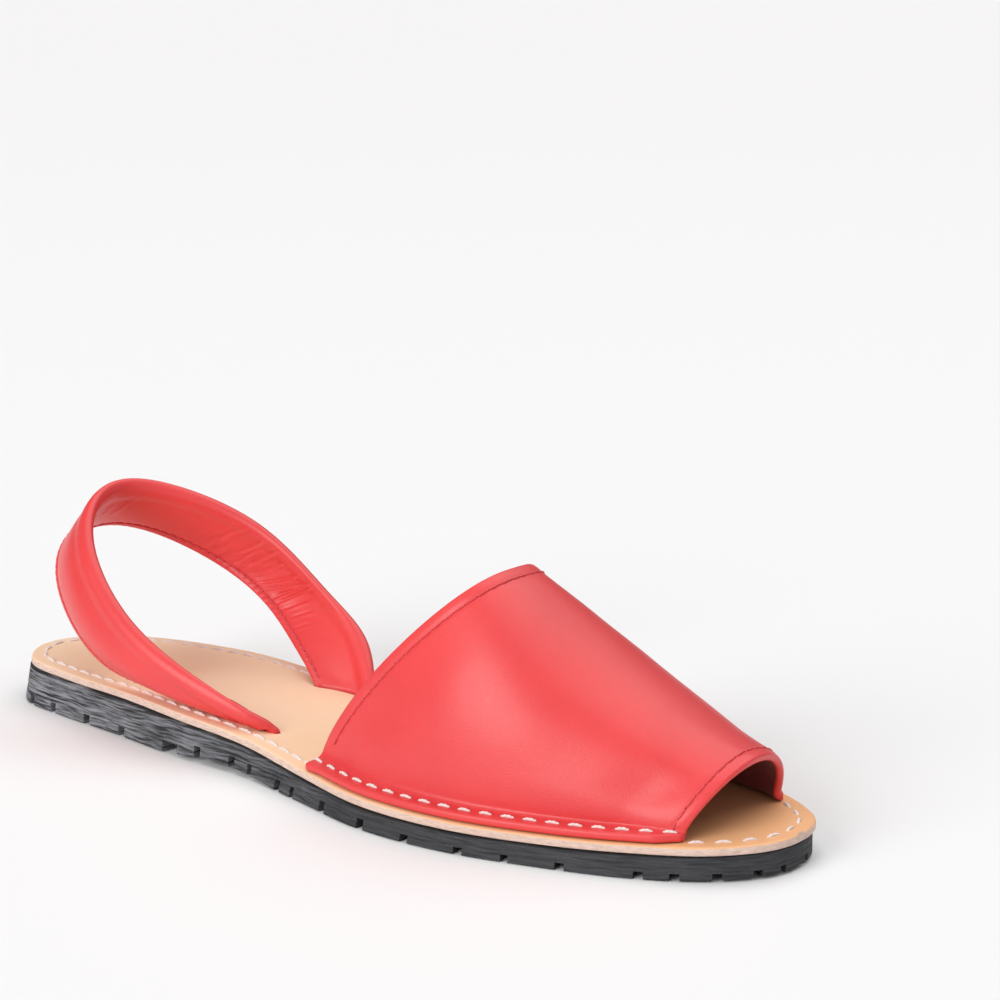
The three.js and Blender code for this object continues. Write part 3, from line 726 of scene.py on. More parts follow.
class Vamp:
    """The arched wall with its flat flange, from the topline to the mouth."""

    def __init__(self, last, sizes):
        self.last = last
        self.thick = sizes.upper_thick / MM
        self.height = sizes.vamp_top / MM
        self.table = spline_table(VAMP)

    def section(self, u):
        last = self.last
        outer_x, inner_x, crest_x, crest, outer_power, inner_power = self.table(u)[0]
        crest_x, crest_z = crest_x * last.foot, crest * self.height
        sweep = mix(TOPLINE_SWEEP, 1, u)
        inset = RIM + FLANGE_INSET * (0.3 + 0.7 * float(smooth(0, 0.06, u)))
        inset += MOUTH_CORNER * float(smooth(0.94, 1, u))
        width = FLANGE_WIDTH * mix(1, MOUTH_FLANGE, float(smooth(0.82, 1, u)))
        feet = {}
        for side, x in (("outer", outer_x * last.foot), ("inner", inner_x * last.foot)):
            feet[side] = (x, float(last.y_at(side, x, -inset)),
                          float(last.y_at(side, x, -(FLANGE_INSET + width))),
                          float(last.top(x)) + last.gap + self.thick)
        centre = (feet["outer"][2] + feet["inner"][2]) / 2
        half = []
        for side, power, sign in (("outer", outer_power, -1), ("inner", inner_power, 1)):
            x, rim, foot, z = feet[side]
            k = np.linspace(0, 1, FLANGE_STEPS)
            turn = min(FOLD_RADIUS, 0.7 * abs(rim - foot))
            flange = np.stack([0 * k + x, mix(rim, foot + sign * turn, k), 0 * k + z], 1)
            start = math.asin(WALL_START ** (power / 2))
            angle = np.linspace(start, math.pi / 2, ARCH_STEPS)
            up = np.sin(angle) ** (2 / power)
            aside = np.clip(np.cos(angle), 0, 1) ** (2 / power)
            wall = np.stack([mix(x, crest_x, up ** sweep), mix(centre, foot, aside),
                             mix(z, crest_z, up)], 1)
            corner = np.array([x, foot, z])
            k = np.linspace(0, 1, FOLD_STEPS + 2)[1:-1, None]
            fold = mix(mix(flange[-1], corner, k), mix(corner, wall[0], k), k)
            half.append(np.vstack([flange, fold, wall]))
        return np.vstack([half[0], half[1][-2::-1]])

    def surface(self, seam_inset):
        """The outer surface's points and normals, the share round the section and how far each
        point lies from the topline."""
        t = np.linspace(0, 1, VAMP_ROWS)
        short = RIM / (self.height * 1.5)
        u = mix(short, 1 - short, mix(t, smooth(0, 1, t), 0.55))
        grid = np.stack([self.section(v) for v in u])
        run = np.cumsum(steps(grid, 1), axis=1)
        around = np.concatenate([np.zeros((VAMP_ROWS, 1)), run], 1)
        around /= around[:, -1:]
        dent = noise_at(grid, VAMP_WAVE, 2.0) * VAMP_WAVE_DEPTH
        for at, turn, reach, turn_reach, depth in VAMP_DENTS:
            dent += depth * bell(u[:, None], at, reach) * bell(around, turn, turn_reach)
        gone = np.concatenate([np.zeros((1, grid.shape[1])), np.cumsum(steps(grid), axis=0)])
        edge = np.minimum(gone, gone[-1:] - gone)
        seam = (0.10 * bell(edge, seam_inset * 0.5, seam_inset * 0.38)
                - SEAM_SINK * bell(edge, seam_inset, 0.8))
        lift = dent * inside(0.06, 0.16, around) + seam * inside(0.03, 0.07, around)
        grid = grid + self.normals(grid) * lift[..., None]
        return grid, self.normals(grid), around, gone

    @staticmethod
    def normals(grid):
        n = unit(np.cross(np.gradient(grid, axis=0), np.gradient(grid, axis=1)))
        return -n if n[len(n) // 2, n.shape[1] // 2, 2] < 0 else n


def shell(grid, normal, thick, bulge):
    """A closed wall: the outer grid, the same grid inside, and rims that bulge between them, with
    a 1 for each face of the inside."""
    rows, columns = grid.shape[:2]
    ring = ([(0, c) for c in range(columns)] + [(r, columns - 1) for r in range(1, rows)]
            + [(rows - 1, c) for c in range(columns - 2, -1, -1)]
            + [(r, 0) for r in range(rows - 2, 0, -1)])
    rr, cc = np.array(ring).T
    n = normal[rr, cc]
    out = grid[rr, cc] - grid[np.clip(rr, 1, rows - 2), np.clip(cc, 1, columns - 2)]
    out = unit(out - np.sum(out * n, 1, keepdims=True) * n)
    inner, half = grid - normal * thick, thick / 2
    middle = (grid[rr, cc] + inner[rr, cc]) / 2
    rims = []
    for k in range(1, RIM_STEPS):
        c, s = math.cos(math.pi * k / RIM_STEPS), math.sin(math.pi * k / RIM_STEPS)
        level = math.copysign(abs(c) ** RIM_POWER, c)
        rims.append(middle + n * half * level + out * bulge * s ** RIM_POWER)
    count, m = rows * columns, len(ring)
    faces = grid_faces(rows, columns)
    lining = [0] * len(faces) + [1] * len(faces)
    faces += [f[::-1] for f in grid_faces(rows, columns, offset=count)]
    first = rr * columns + cc
    between = [2 * count + k * m + np.arange(m) for k in range(len(rims))]
    levels = [first, *between, first + count]
    for low, high in zip(levels[:-1], levels[1:]):
        faces += [(int(low[(i + 1) % m]), int(low[i]), int(high[i]), int(high[(i + 1) % m]))
                  for i in range(m)]
    points = np.vstack([grid.reshape(-1, 3), inner.reshape(-1, 3), *rims])
    return points, faces, lining + [0] * (len(faces) - len(lining))


# Node trees.

def add_node(tree, kind, inputs=None, **settings):
    """A node with its settings, its values and its links."""
    node = tree.nodes.new(kind)
    for key, value in settings.items():
        setattr(node, key, value)
    for key, value in (inputs or {}).items():
        socket = node.inputs[key]
        if isinstance(value, bpy.types.NodeSocket):
            tree.links.new(value, socket)
        else:
            socket.default_value = value
    return node


class Graph:
    """A node tree under construction, with short calls that give a node's output."""

    def __init__(self, tree):
        self.tree = tree

    def node(self, kind, output, inputs=None, **settings):
        return add_node(self.tree, kind, inputs, **settings).outputs[output]

    def math(self, operation, a, b, **settings):
        inputs = {0: a, 1: b}
        return self.node("ShaderNodeMath", 0, inputs, operation=operation, **settings)

    def vector(self, operation, a, b):
        return self.node("ShaderNodeVectorMath", 0, {0: a, 1: b}, operation=operation)

    def vector_named(self, name):
        return self.node("GeometryNodeInputNamedAttribute", "Attribute", {"Name": name},
                         data_type="FLOAT_VECTOR")


def rgba(colour_value):
    return (*colour_value[:3], 1.0)


def darker(colour_value, share):
    return [c * share for c in colour_value]


class Recipe(Graph):
    """A material under construction, drawn in the object's own coordinates in metres."""

    def __init__(self, name):
        self.material = bpy.data.materials.new(name)
        self.material.use_nodes = True
        super().__init__(self.material.node_tree)
        self.tree.nodes.clear()
        self.place = self.node("ShaderNodeTexCoord", "Object")

    def noise(self, scale, detail=2.0, rough=0.5, place=None):
        vector = self.place if place is None else place
        return self.node("ShaderNodeTexNoise", "Fac", {
            "Vector": vector, "Scale": scale, "Detail": detail, "Roughness": rough})

    def ranged(self, value, low, high, to_low=0.0, to_high=1.0, **settings):
        return self.node("ShaderNodeMapRange", "Result", {
            "Value": value, "From Min": low, "From Max": high, "To Min": to_low,
            "To Max": to_high}, **settings)

    def tint(self, share, a, b):
        return self.node("ShaderNodeMix", "Result", {0: share, "A": rgba(a), "B": rgba(b)},
                         data_type="RGBA")

    def axis(self, name):
        return self.node("ShaderNodeSeparateXYZ", name, {0: self.place})

    def finish(self, surface, height=None, strength=0.0, depth=0.0):
        """The material with its surface's values, and a bump of some metres from a height."""
        shader = add_node(self.tree, "ShaderNodeBsdfPrincipled", surface)
        if height is not None:
            bump = self.node("ShaderNodeBump", "Normal", {"Height": height, "Strength": strength,
                                                          "Distance": depth})
            self.tree.links.new(bump, shader.inputs["Normal"])
        add_node(self.tree, "ShaderNodeOutputMaterial", {"Surface": shader.outputs["BSDF"]})
        return self.material


# Materials.

def dyed_leather(name, colours):
    """Full-grain calf leather, drum dyed and lightly finished: satin sheen over a fine pebbled
    grain of about 0.7 mm, with the dye a little deeper in soft clouds."""
    recipe = Recipe(name)
    cloud = recipe.ranged(recipe.noise(32.0, 3.0, 0.55), 0.35, 0.70, to_high=0.6)
    warp = recipe.node("ShaderNodeTexNoise", "Color", {"Vector": recipe.place, "Scale": 900.0,
                                                       "Detail": 1.0})
    bent = recipe.vector("ADD", recipe.place, recipe.vector("MULTIPLY", warp, (0.0005,) * 3))
    cells = recipe.node("ShaderNodeTexVoronoi", "Distance", {"Vector": bent, "Scale": 1400.0},
                        feature="DISTANCE_TO_EDGE")
    pebble = recipe.ranged(cells, 0.0, 0.22, interpolation_type="SMOOTHSTEP")
    fine = recipe.noise(420.0, 4.0, 0.6)
    height = recipe.math("ADD", pebble, recipe.math("MULTIPLY", fine, 1.6))
    return recipe.finish({
        "Base Color": recipe.tint(cloud, colours.red, colours.red_dark),
        "Roughness": recipe.ranged(fine, 0.0, 1.0, 0.38, 0.52), "IOR": 1.46,
        "Coat Weight": 0.32, "Coat Roughness": 0.32}, height, 0.22, 0.00012)


def flesh_side(name, colours):
    """Flesh side of the same calf leather: dull, darker dye in a short suede-like nap."""
    recipe = Recipe(name)
    nap = recipe.noise(700.0, 5.0, 0.7)
    skin = recipe.tint(nap, darker(colours.flesh, 0.7), colours.flesh)
    return recipe.finish({"Base Color": skin, "Roughness": 0.92, "Sheen Weight": 0.12},
                         nap, 0.6, 0.0002)


def tanned_leather(name, colours):
    """Vegetable-tanned insole leather, glazed by pressing: smooth and pale, warmer and darker
    towards the toe, partly its own tan and partly painted shade where the vamp covers the insole,
    with faint mottling and scattered pores."""
    recipe = Recipe(name)
    # Warmer and darker towards the toe: partly the tan, partly painted shade under the vamp.
    toe_tan_and_shade = recipe.ranged(recipe.axis("X"), -0.05, 0.13)
    cloud = recipe.ranged(recipe.noise(26.0, 5.0, 0.6), 0.3, 0.75, to_high=0.35)
    share = recipe.math("ADD", toe_tan_and_shade, cloud, use_clamp=True)
    pores = recipe.node("ShaderNodeTexVoronoi", "Distance", {"Vector": recipe.place,
                                                             "Scale": 900.0})
    height = recipe.math("ADD", recipe.ranged(pores, 0.0, 0.25), recipe.noise(260.0, 5.0))
    skin = recipe.tint(share, colours.tan, colours.tan_toe_and_shade)
    return recipe.finish({"Base Color": skin, "Roughness": 0.52, "IOR": 1.45},
                         height, 0.18, 0.00012)


def raw_edge(name, colours):
    """Die-cut edge of the tanned leather: loose pinkish fibres in thin layers, no glaze."""
    recipe = Recipe(name)
    flat = recipe.node("ShaderNodeMapping", 0, {"Vector": recipe.place,
                                                "Scale": (500.0, 500.0, 2600.0)})
    fibre = recipe.noise(1.0, 5.0, 0.7, place=flat)
    skin = recipe.tint(recipe.ranged(fibre, 0.35, 0.65), darker(colours.cut_edge, 0.72),
                       colours.cut_edge)
    return recipe.finish({"Base Color": skin, "Roughness": 0.88}, fibre, 0.7, 0.0003)


def spun_thread(name, colour_value, roughness):
    """Waxed polyester thread of two plies, modelled twisted, with fine filaments and a soft
    lustre."""
    recipe = Recipe(name)
    fuzz = recipe.noise(2600.0)
    tone = recipe.tint(fuzz, colour_value, darker(colour_value, 0.84))
    return recipe.finish({"Base Color": tone, "Roughness": roughness, "Sheen Weight": 0.2},
                         fuzz, 0.4, 0.0001)


def needle_hole(name, colours):
    """Pierced leather at the bottom of a stitch hole: the dye in deep shade, without gloss."""
    shade = rgba(darker(colours.red_dark, 0.60))
    return Recipe(name).finish({"Base Color": shade, "Roughness": 1.0,
                                "Specular IOR Level": 0.0})


def moulded_rubber(name, colours):
    """Vulcanised tread rubber from a steel mould: matt and near black, kept darker in the grooves
    by painted shade, pale and dusty on the ridges, and paler towards the heel, partly dusty rubber
    and partly painted light where the heel side is lit, with a fine sandy skin and a checked
    underside.
    """
    recipe = Recipe(name)
    groove = recipe.node("ShaderNodeAttribute", "Fac", attribute_name="groove")
    x, y, z = (recipe.axis(letter) for letter in "XYZ")
    # Paler towards the heel: partly dusty rubber, partly painted light on the lit heel side and
    # painted shade at the toe.
    heel = recipe.ranged(x, 0.02, -0.06, to_low=0.12)
    worn = recipe.ranged(recipe.noise(45.0, 4.0, 0.6), 0.3, 0.6, to_low=0.6)
    # Streaks about 10 mm long and half a millimetre tall, with the moulded grooves kept dark by
    # painted shade.
    lift = recipe.math("MULTIPLY", recipe.noise(55.0), 0.003)
    level = recipe.node("ShaderNodeCombineXYZ", 0, {"X": x, "Y": y,
                                                    "Z": recipe.math("ADD", z, lift)})
    long = recipe.node("ShaderNodeMapping", 0, {"Vector": level, "Scale": (80.0, 80.0, 1700.0)})
    streak = recipe.noise(1.0, 4.0, 0.62, place=long)
    tone = recipe.math("ADD", streak, recipe.math("MULTIPLY", groove, -0.16))
    dust_and_light = recipe.math("MULTIPLY", recipe.ranged(tone, 0.33, 0.58), heel)
    bloom_and_light = recipe.math("MULTIPLY", dust_and_light, worn, use_clamp=True)
    sides = recipe.math("ADD", recipe.noise(1300.0, 3.0), recipe.math("MULTIPLY", streak, 2.2))
    # Crossed ribs of 2.4 mm under the sole.
    waves = [recipe.node("ShaderNodeTexWave", "Fac", {"Vector": recipe.place, "Scale": 131.0},
                         bands_direction=axis) for axis in ("X", "Y")]
    ribs = recipe.math("MULTIPLY", recipe.math("MINIMUM", *waves), 5.0)
    normal = recipe.node("ShaderNodeNewGeometry", "True Normal")
    facing = recipe.node("ShaderNodeSeparateXYZ", "Z", {0: normal})
    under = recipe.math("LESS_THAN", facing, -0.7)
    height = recipe.node("ShaderNodeMix", 0, {0: under, 2: sides, 3: ribs})
    skin = recipe.tint(bloom_and_light, colours.rubber, colours.rubber_dust_and_light)
    return recipe.finish({"Base Color": skin, "Roughness": 0.66, "IOR": 1.5}, height, 0.6, 0.0003)


def matt_paper(name):
    """Uncoated white backdrop paper: dull and smooth, a touch greyer far from the sandal, as
    painted shade for the studio light falling off.
    """
    recipe = Recipe(name)
    away = recipe.node("ShaderNodeVectorMath", "Value", {0: recipe.place}, operation="LENGTH")
    # Painted light: the paper is lighter near the sandal, where the studio light pools.
    tone = recipe.tint(recipe.ranged(away, 0.1, 2.2), PAPER_NEAR, PAPER_FAR)
    return recipe.finish({"Base Color": tone, "Roughness": 0.9, "Specular IOR Level": 0.1})


def material_named(name, maker, *arguments):
    return bpy.data.materials.get(name) or maker(name, *arguments)


# Stitching.

def new_tree(name, sockets=()):
    """A Geometry Nodes tree with the given inputs after its geometry, and what they give."""
    tree = bpy.data.node_groups.new(name, "GeometryNodeTree")
    for label, kind in (("Geometry", "Geometry"), *sockets):
        tree.interface.new_socket(label, in_out="INPUT", socket_type="NodeSocket" + kind)
    tree.interface.new_socket("Geometry", in_out="OUTPUT", socket_type="NodeSocketGeometry")
    return tree, add_node(tree, "NodeGroupInput").outputs


def stitch_tree():
    """Stitches along a line: at each pitch a short flat-topped thread of two twisted plies with
    its ends sunk in the leather, and if asked a needle hole between each two."""
    tree = bpy.data.node_groups.get("Stitch run")
    if tree:
        return tree
    tree, given = new_tree("Stitch run", (
        ("Pitch", "Float"), ("Stitch length", "Float"), ("Thread", "Float"), ("Sink", "Float"),
        ("Turns", "Float"), ("Hole", "Float"), ("Holes", "Bool"), ("Seed", "Int"),
        ("Material", "Material"), ("Hole material", "Material")))
    graph = Graph(tree)

    def times(a, b):
        return graph.math("MULTIPLY", a, b)

    def at(x, z):
        return graph.node("ShaderNodeCombineXYZ", 0, {"X": x, "Z": z})

    def on_points(points, instance, rotation, scale):
        placed = graph.node("GeometryNodeInstanceOnPoints", 0, {
            "Points": points, "Instance": instance, "Rotation": rotation, "Scale": scale})
        return graph.node("GeometryNodeRealizeInstances", 0, {"Geometry": placed})

    def coloured(geometry, material):
        return graph.node("GeometryNodeSetMaterial", 0, {"Geometry": geometry,
                                                         "Material": given[material]})

    def varied(low, high):
        return graph.node("FunctionNodeRandomValue", 0, {
            "Min": low, "Max": high, "Seed": given["Seed"]}, data_type="FLOAT_VECTOR")

    line = graph.node("GeometryNodeMeshToCurve", 0, {"Mesh": given["Geometry"]})
    spaced = graph.node("GeometryNodeResampleCurve", 0, {"Curve": line, "Length": given["Pitch"]},
                        mode="LENGTH")
    ahead = times(given["Stitch length"], 0.5)
    behind = times(ahead, -1.0)
    down = times(given["Sink"], -1.0)
    crown = times(given["Thread"], 0.42)
    bow = graph.node("GeometryNodeCurvePrimitiveBezierSegment", 0, {
        "Resolution": 24, "Start": at(behind, down), "Start Handle": at(times(behind, 0.80), crown),
        "End Handle": at(times(ahead, 0.80), crown), "End": at(ahead, down)}, mode="POSITION")
    order = graph.node("GeometryNodeInputIndex", 0)
    twisted = graph.node("GeometryNodeSetCurveTilt", 0, {
        "Curve": bow, "Tilt": times(times(order, 2 * math.pi), given["Turns"])})
    ring = graph.node("GeometryNodeCurvePrimitiveCircle", 0, {
        "Resolution": 10, "Radius": times(given["Thread"], 0.5)}, mode="RADIUS")
    plies = graph.node("GeometryNodeTransform", 0, {"Geometry": ring, "Scale": (1.04, 0.84, 1.0)})
    thread = graph.node("GeometryNodeCurveToMesh", 0, {
        "Curve": twisted, "Profile Curve": plies, "Fill Caps": True})
    tangent = graph.node("GeometryNodeInputTangent", 0)
    turned = graph.node("FunctionNodeAxesToRotation", 0, {
        "Primary Axis": tangent, "Secondary Axis": graph.vector_named("up")},
        primary_axis="X", secondary_axis="Z")
    swayed = graph.node("FunctionNodeRotateRotation", 0, {
        "Rotation": turned, "Rotate By": varied((0, 0, -0.05), (0, 0, 0.05))},
        rotation_space="LOCAL")
    size = graph.vector("MULTIPLY", varied((0.94,) * 3, (1.05, 1.06, 1.06)),
                        graph.vector_named("stretch"))
    soft = graph.node("GeometryNodeSetShadeSmooth", 0, {
        "Geometry": on_points(spaced, thread, swayed, size)})
    step = graph.node("ShaderNodeVectorMath", 0, {
        0: tangent, "Scale": times(given["Pitch"], 0.5)}, operation="SCALE")
    between = graph.node("GeometryNodeSetPosition", 0, {"Geometry": spaced, "Offset": step})
    bead = graph.node("GeometryNodeMeshUVSphere", "Mesh", {"Segments": 10, "Rings": 6,
                                                           "Radius": given["Hole"]})
    pits = on_points(between, bead, turned, (1.2, 0.9, 0.45))
    chosen = graph.node("GeometryNodeSwitch", 0, {
        "Switch": given["Holes"], "True": coloured(pits, "Hole material")}, input_type="GEOMETRY")
    both = add_node(tree, "GeometryNodeJoinGeometry", {"Geometry": coloured(soft, "Material")})
    tree.links.new(chosen, both.inputs[0])
    add_node(tree, "NodeGroupOutput", {"Geometry": both.outputs[0]})
    return tree


def stitch_run(name, runs, values):
    """Stitches along lines of points with their outward normals and how much of the full stitch
    length each line has, as one plain mesh."""
    points, ups, stretches, edges = [], [], [], []
    for line, up, stretch in runs:
        base = len(points)
        points += list(line)
        ups += list(up)
        stretches += [(stretch, 1.0, 1.0)] * len(line)
        edges += [(base + i, base + i + 1) for i in range(len(line) - 1)]
    return from_nodes(name, points, edges, {"up": ups, "stretch": stretches}, stitch_tree(), values)


# Operators.

def given_by(scene):
    """The scene's sizes and colours, and the sole that the sizes give."""
    return scene.sandal_sizes, scene.sandal_colours, Last(scene.sandal_sizes)


def press_grooves(rings, kinds, share, sizes):
    """Wavy bark-like lines moulded into the rubber's side, strongest at the heel; gives how
    far each point lies in a groove, from 0 to 1."""
    depth, pitch = sizes.bark_depth / MM, sizes.bark_pitch / MM
    shade = np.ones(rings.shape[:2])
    strength = mix(1.0, BARK_TOE, smooth(*BARK_FADE, share))[:, None]
    for kind, sign in ((1, 1.0), (3, -1.0)):
        flank = np.where(kinds == kind)[0]
        wall = rings[:, flank]
        along = np.gradient(wall[:, len(flank) // 2, :2], axis=0)
        out = unit(np.stack([-along[:, 1], along[:, 0]], 1)) * sign
        bend = sum(noise_at(wall, cell, seed) * reach for cell, seed, reach in BARK_BENDS)
        line = np.abs(np.sin(np.pi * (wall[..., 2] / pitch + bend)))
        grain = noise_at(wall + np.array([0, 0, 1]) * bend[..., None], BARK_GRAIN, 3.0)
        grain += 0.7 * noise_at(wall, BARK_FINE_GRAIN, 5.0)
        low_z = wall[..., 2].min(axis=1, keepdims=True)
        z = (wall[..., 2] - low_z) / np.ptp(wall[..., 2], axis=1)[:, None]
        keep = smooth(0.01, 0.06, z) * smooth(0.0, 0.05, 1 - z)
        low = np.clip(0.62 - 0.55 * line - 0.75 * grain, 0, 1)
        rings[:, flank, :2] += out[:, None] * (-depth * low * strength * keep)[..., None]
        shade[:, flank] = mix(1, low, keep)
    return shade


def tread_cutters(last, sizes):
    """Boxes that open the tread slots, instanced on their places along both edges."""
    depth, slot = sizes.lug_depth / MM, sizes.lug_slot / MM
    opened = []
    for side, table, sign in (("outer", TREAD_OUTER, 1), ("inner", TREAD_INNER, -1)):
        for share, width in table:
            flare = float(last.flare(share))
            near = [last.point(side, np.clip(share + step, 0, 1), flare)
                    for step in (-PATH_STEP, 0, PATH_STEP)]
            opened.append((near[1], (near[2] - near[0]) * sign, width))
    tip = last.sides(-TOE_TUCK)
    line = np.vstack([tip["outer"], tip["inner"][::-1]])
    line = line[line[:, 0] > 0]
    for share, width in TREAD_TIP:
        k = int(np.argmax(line[:, 1] > share * last.ball))
        opened.append((line[k], line[k + 4] - line[k - 4], width))
    places, turns, scales = [], [], []
    for p, run, width in opened:
        inward = unit(np.array([-run[1], run[0]]))
        reach = max(SLOT_REACH * abs(p[1]), depth * 2)
        mid = p + inward * (reach / 2 - SLOT_OVERHANG)
        tall = depth * mix(1, SLOT_TOE_HEIGHT, float(smooth(*SLOT_FADE, p[0] / last.foot)))
        places.append((mid[0], mid[1], float(last.bottom(p[0])) + tall / 2 - 1))
        turns.append((0, 0, math.atan2(inward[1], inward[0])))
        scales.append((reach + 2 * SLOT_OVERHANG, slot * width * SLOT_WIDTH, tall + 2))
    tree, given = new_tree("Tread slots")
    graph = Graph(tree)
    turn = graph.node("FunctionNodeEulerToRotation", 0, {0: graph.vector_named("turn")})
    placed = graph.node("GeometryNodeInstanceOnPoints", 0, {
        "Points": given["Geometry"], "Rotation": turn, "Scale": graph.vector_named("size"),
        "Instance": graph.node("GeometryNodeMeshCube", "Mesh", {"Size": (1, 1, 1)})})
    real = graph.node("GeometryNodeRealizeInstances", 0, {"Geometry": placed})
    coloured = graph.node("GeometryNodeSetMaterial", 0, {"Geometry": real})
    add_node(tree, "NodeGroupOutput", {"Geometry": coloured})
    marks = {"turn": turns, "size": np.array(scales) * MM}
    return from_nodes("tread_cutters", places, [], marks, tree, {})


class SANDAL_OT_outsole(bpy.types.Operator):
    """Build the moulded rubber outsole"""
    bl_idname = "sandal.outsole"
    bl_label = "Outsole"

    def execute(self, context):
        sizes, colours, last = given_by(context.scene)
        heights = [0.06 + 0.90 * k / (OUTSOLE_ROWS - 2) for k in range(OUTSOLE_ROWS - 1)]
        flank = [(-0.8, 1, 0.0), (-0.25, 1, 0.03), *((0.0, 1 - 0.85 * up, up) for up in heights),
                 (-0.3, 0, 1.0)]

        def height_at(x, up):
            return mix(last.bottom(x), last.top(x) - last.insole - last.gap, up)

        rings, kinds, share = plate_rings(last, flank, height_at, last.flare, *OUTSOLE_GRID)
        shade = press_grooves(rings, kinds, share, sizes)
        rubber = material_named("vulcanised rubber, moulded", moulded_rubber, colours)
        body = tube_object("rubber_outsole", rings, [rubber])
        # The groove depth, kept for the rubber's painted shade in its grooves.
        mark = body.data.attributes.new("groove", "FLOAT", "POINT")
        mark.data.foreach_set("value", shade.ravel())
        body = cut(body, tread_cutters(last, sizes), "rubber_outsole")
        body = Strap(last, sizes).cut_slots(body, "rubber_outsole")
        body.data.set_sharp_from_angle(angle=math.radians(SHARP_RUBBER))
        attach(body, "root")
        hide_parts("outsole")
        return {"FINISHED"}


class SANDAL_OT_insole(bpy.types.Operator):
    """Build the leather insole with its raw edge and the slots for the strap"""
    bl_idname = "sandal.insole"
    bl_label = "Insole"

    def execute(self, context):
        sizes, colours, last = given_by(context.scene)

        def height_at(x, up):
            return last.top(x) - last.insole * (1 - up)

        rings, kinds, _ = plate_rings(last, INSOLE_FLANK, height_at, lambda share, flare: 0,
                                      *INSOLE_GRID)
        rough = noise_at(rings, EDGE_NAP, 5.0) * EDGE_NAP_DEPTH
        side = np.isin(kinds, (1, 3))
        centre = rings.mean(axis=1, keepdims=True)
        out = unit((rings - centre) * np.array([1, 1, 0]))
        rings[:, side] += (out * rough[..., None])[:, side]
        skin = material_named("vegetable-tanned leather, glazed", tanned_leather, colours)
        fibres = material_named("leather, die-cut edge", raw_edge, colours)
        body = tube_object("leather_insole", rings, [skin, fibres])
        body = Strap(last, sizes).cut_slots(body, "leather_insole")
        for face in body.data.polygons:
            face.material_index = 0 if face.normal.z > 0.55 else 1
        body.data.set_sharp_from_angle(angle=math.radians(SHARP_INSOLE))
        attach(body, "root")
        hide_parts("insole")
        return {"FINISHED"}


class SANDAL_OT_vamp(bpy.types.Operator):
    """Build the leather vamp with its flange and rounded edges"""
    bl_idname = "sandal.vamp"
    bl_label = "Vamp"

    def execute(self, context):
        sizes, colours, last = given_by(context.scene)
        vamp = Vamp(last, sizes)
        grid, normal, _, _ = vamp.surface(sizes.top_inset / MM)
        points, faces, lining = shell(grid, normal, vamp.thick, RIM)
        leather = material_named("calf leather, dyed and finished", dyed_leather, colours)
        flesh = material_named("calf leather, flesh side", flesh_side, colours)
        body = make_mesh("leather_vamp", points, faces, [leather, flesh], lining)
        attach(body, "root")
        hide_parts("vamp")
        return {"FINISHED"}


def strap_wear(t, travel, aside, share, band, sizes):
    """How far the outer and the inner face rise: creases, wrinkles and the quilted edge."""
    def place(path, width):
        return np.interp(path, t, travel[:, 0]), width * band

    inset, pitch = sizes.strap_inset / MM, sizes.strap_pitch / MM
    from_edge = (1 - share[None]) * band
    tug = 0.5 + 0.5 * np.cos(2 * np.pi * travel / pitch)
    seam = bell(from_edge, inset, 0.7) * (0.55 + 0.45 * tug)
    quilt = bell(from_edge, inset * 0.5, inset * 0.36) * (0.5 - tug)
    stitched = QUILT_SWELL * quilt - THREAD_PULL * seam
    grid = np.stack(np.broadcast_arrays(travel, aside, 0.0), -1)
    skew = grid + 0.35 * grid[..., 1:2] * np.array([1, 0, 0])
    fine = noise_at(skew, WRINKLES, 6.0) + 0.5 * noise_at(grid, FINE_WRINKLES, 8.0)
    fine *= smooth(-0.3, 0.4, noise_at(grid, WRINKLE_PATCHES, 4.0))
    open_face = smooth(0.16, 0.30, share) * smooth(0.06, 0.14, 1 - share)
    bent = 0.45 * smooth(0.30, 0.46, t) * smooth(0.10, 0.24, 1 - t) + 0.45 * bell(t, 0.83, 0.06)
    inner = fine * bent[:, None] * open_face * WRINKLE_DEPTH + stitched
    inner += creases(STRAP_CREASES, travel, aside, place)
    low = (smooth(0.40, 0.25, t) * smooth(0, 0.06, t))[:, None]
    ridge = sum(height * bell(share, at, reach) for height, at, reach in STRAP_RIDGE)
    soft = noise_at(grid, STRAP_WAVE, 9.0) * STRAP_WAVE_DEPTH * open_face
    return stitched + soft + ridge * low, inner


class SANDAL_OT_heel_strap(bpy.types.Operator):
    """Build the folded heel strap"""
    bl_idname = "sandal.heel_strap"
    bl_label = "Heel strap"

    def execute(self, context):
        sizes, colours, last = given_by(context.scene)
        strap = Strap(last, sizes)
        profile = rounded_table(BAND, BAND_SAMPLES)
        t = np.concatenate([np.linspace(a, b, n, endpoint=b == 1) for a, b, n in STRAP_SPANS])
        rings = strap.rings(t, profile)
        out, width = strap.frame(t)[2:4]
        band = width.mean()
        share = np.concatenate([profile[0], profile[0][::-1]])
        travel = np.concatenate([[0], np.cumsum(steps(rings.mean(axis=1)))])[:, None]
        outer, inner = strap_wear(t, travel, share[None] * band, share, band, sizes)
        push = np.where(np.arange(len(share)) < len(share) // 2, outer, -inner)
        push *= smooth(0, 0.03, np.minimum(t, 1 - t))[:, None]
        rings += out[:, None] * push[..., None]
        ends = rings[[0, -1]]
        ends[..., 2] -= strap.depth
        leather = material_named("calf leather, dyed and finished", dyed_leather, colours)
        rings = np.concatenate([ends[:1], rings, ends[1:]])
        body = tube_object("leather_heel_strap", rings, [leather])
        body.data.set_sharp_from_angle(angle=math.radians(SHARP_STRAP))
        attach(body, "root")
        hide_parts("heel_strap")
        return {"FINISHED"}


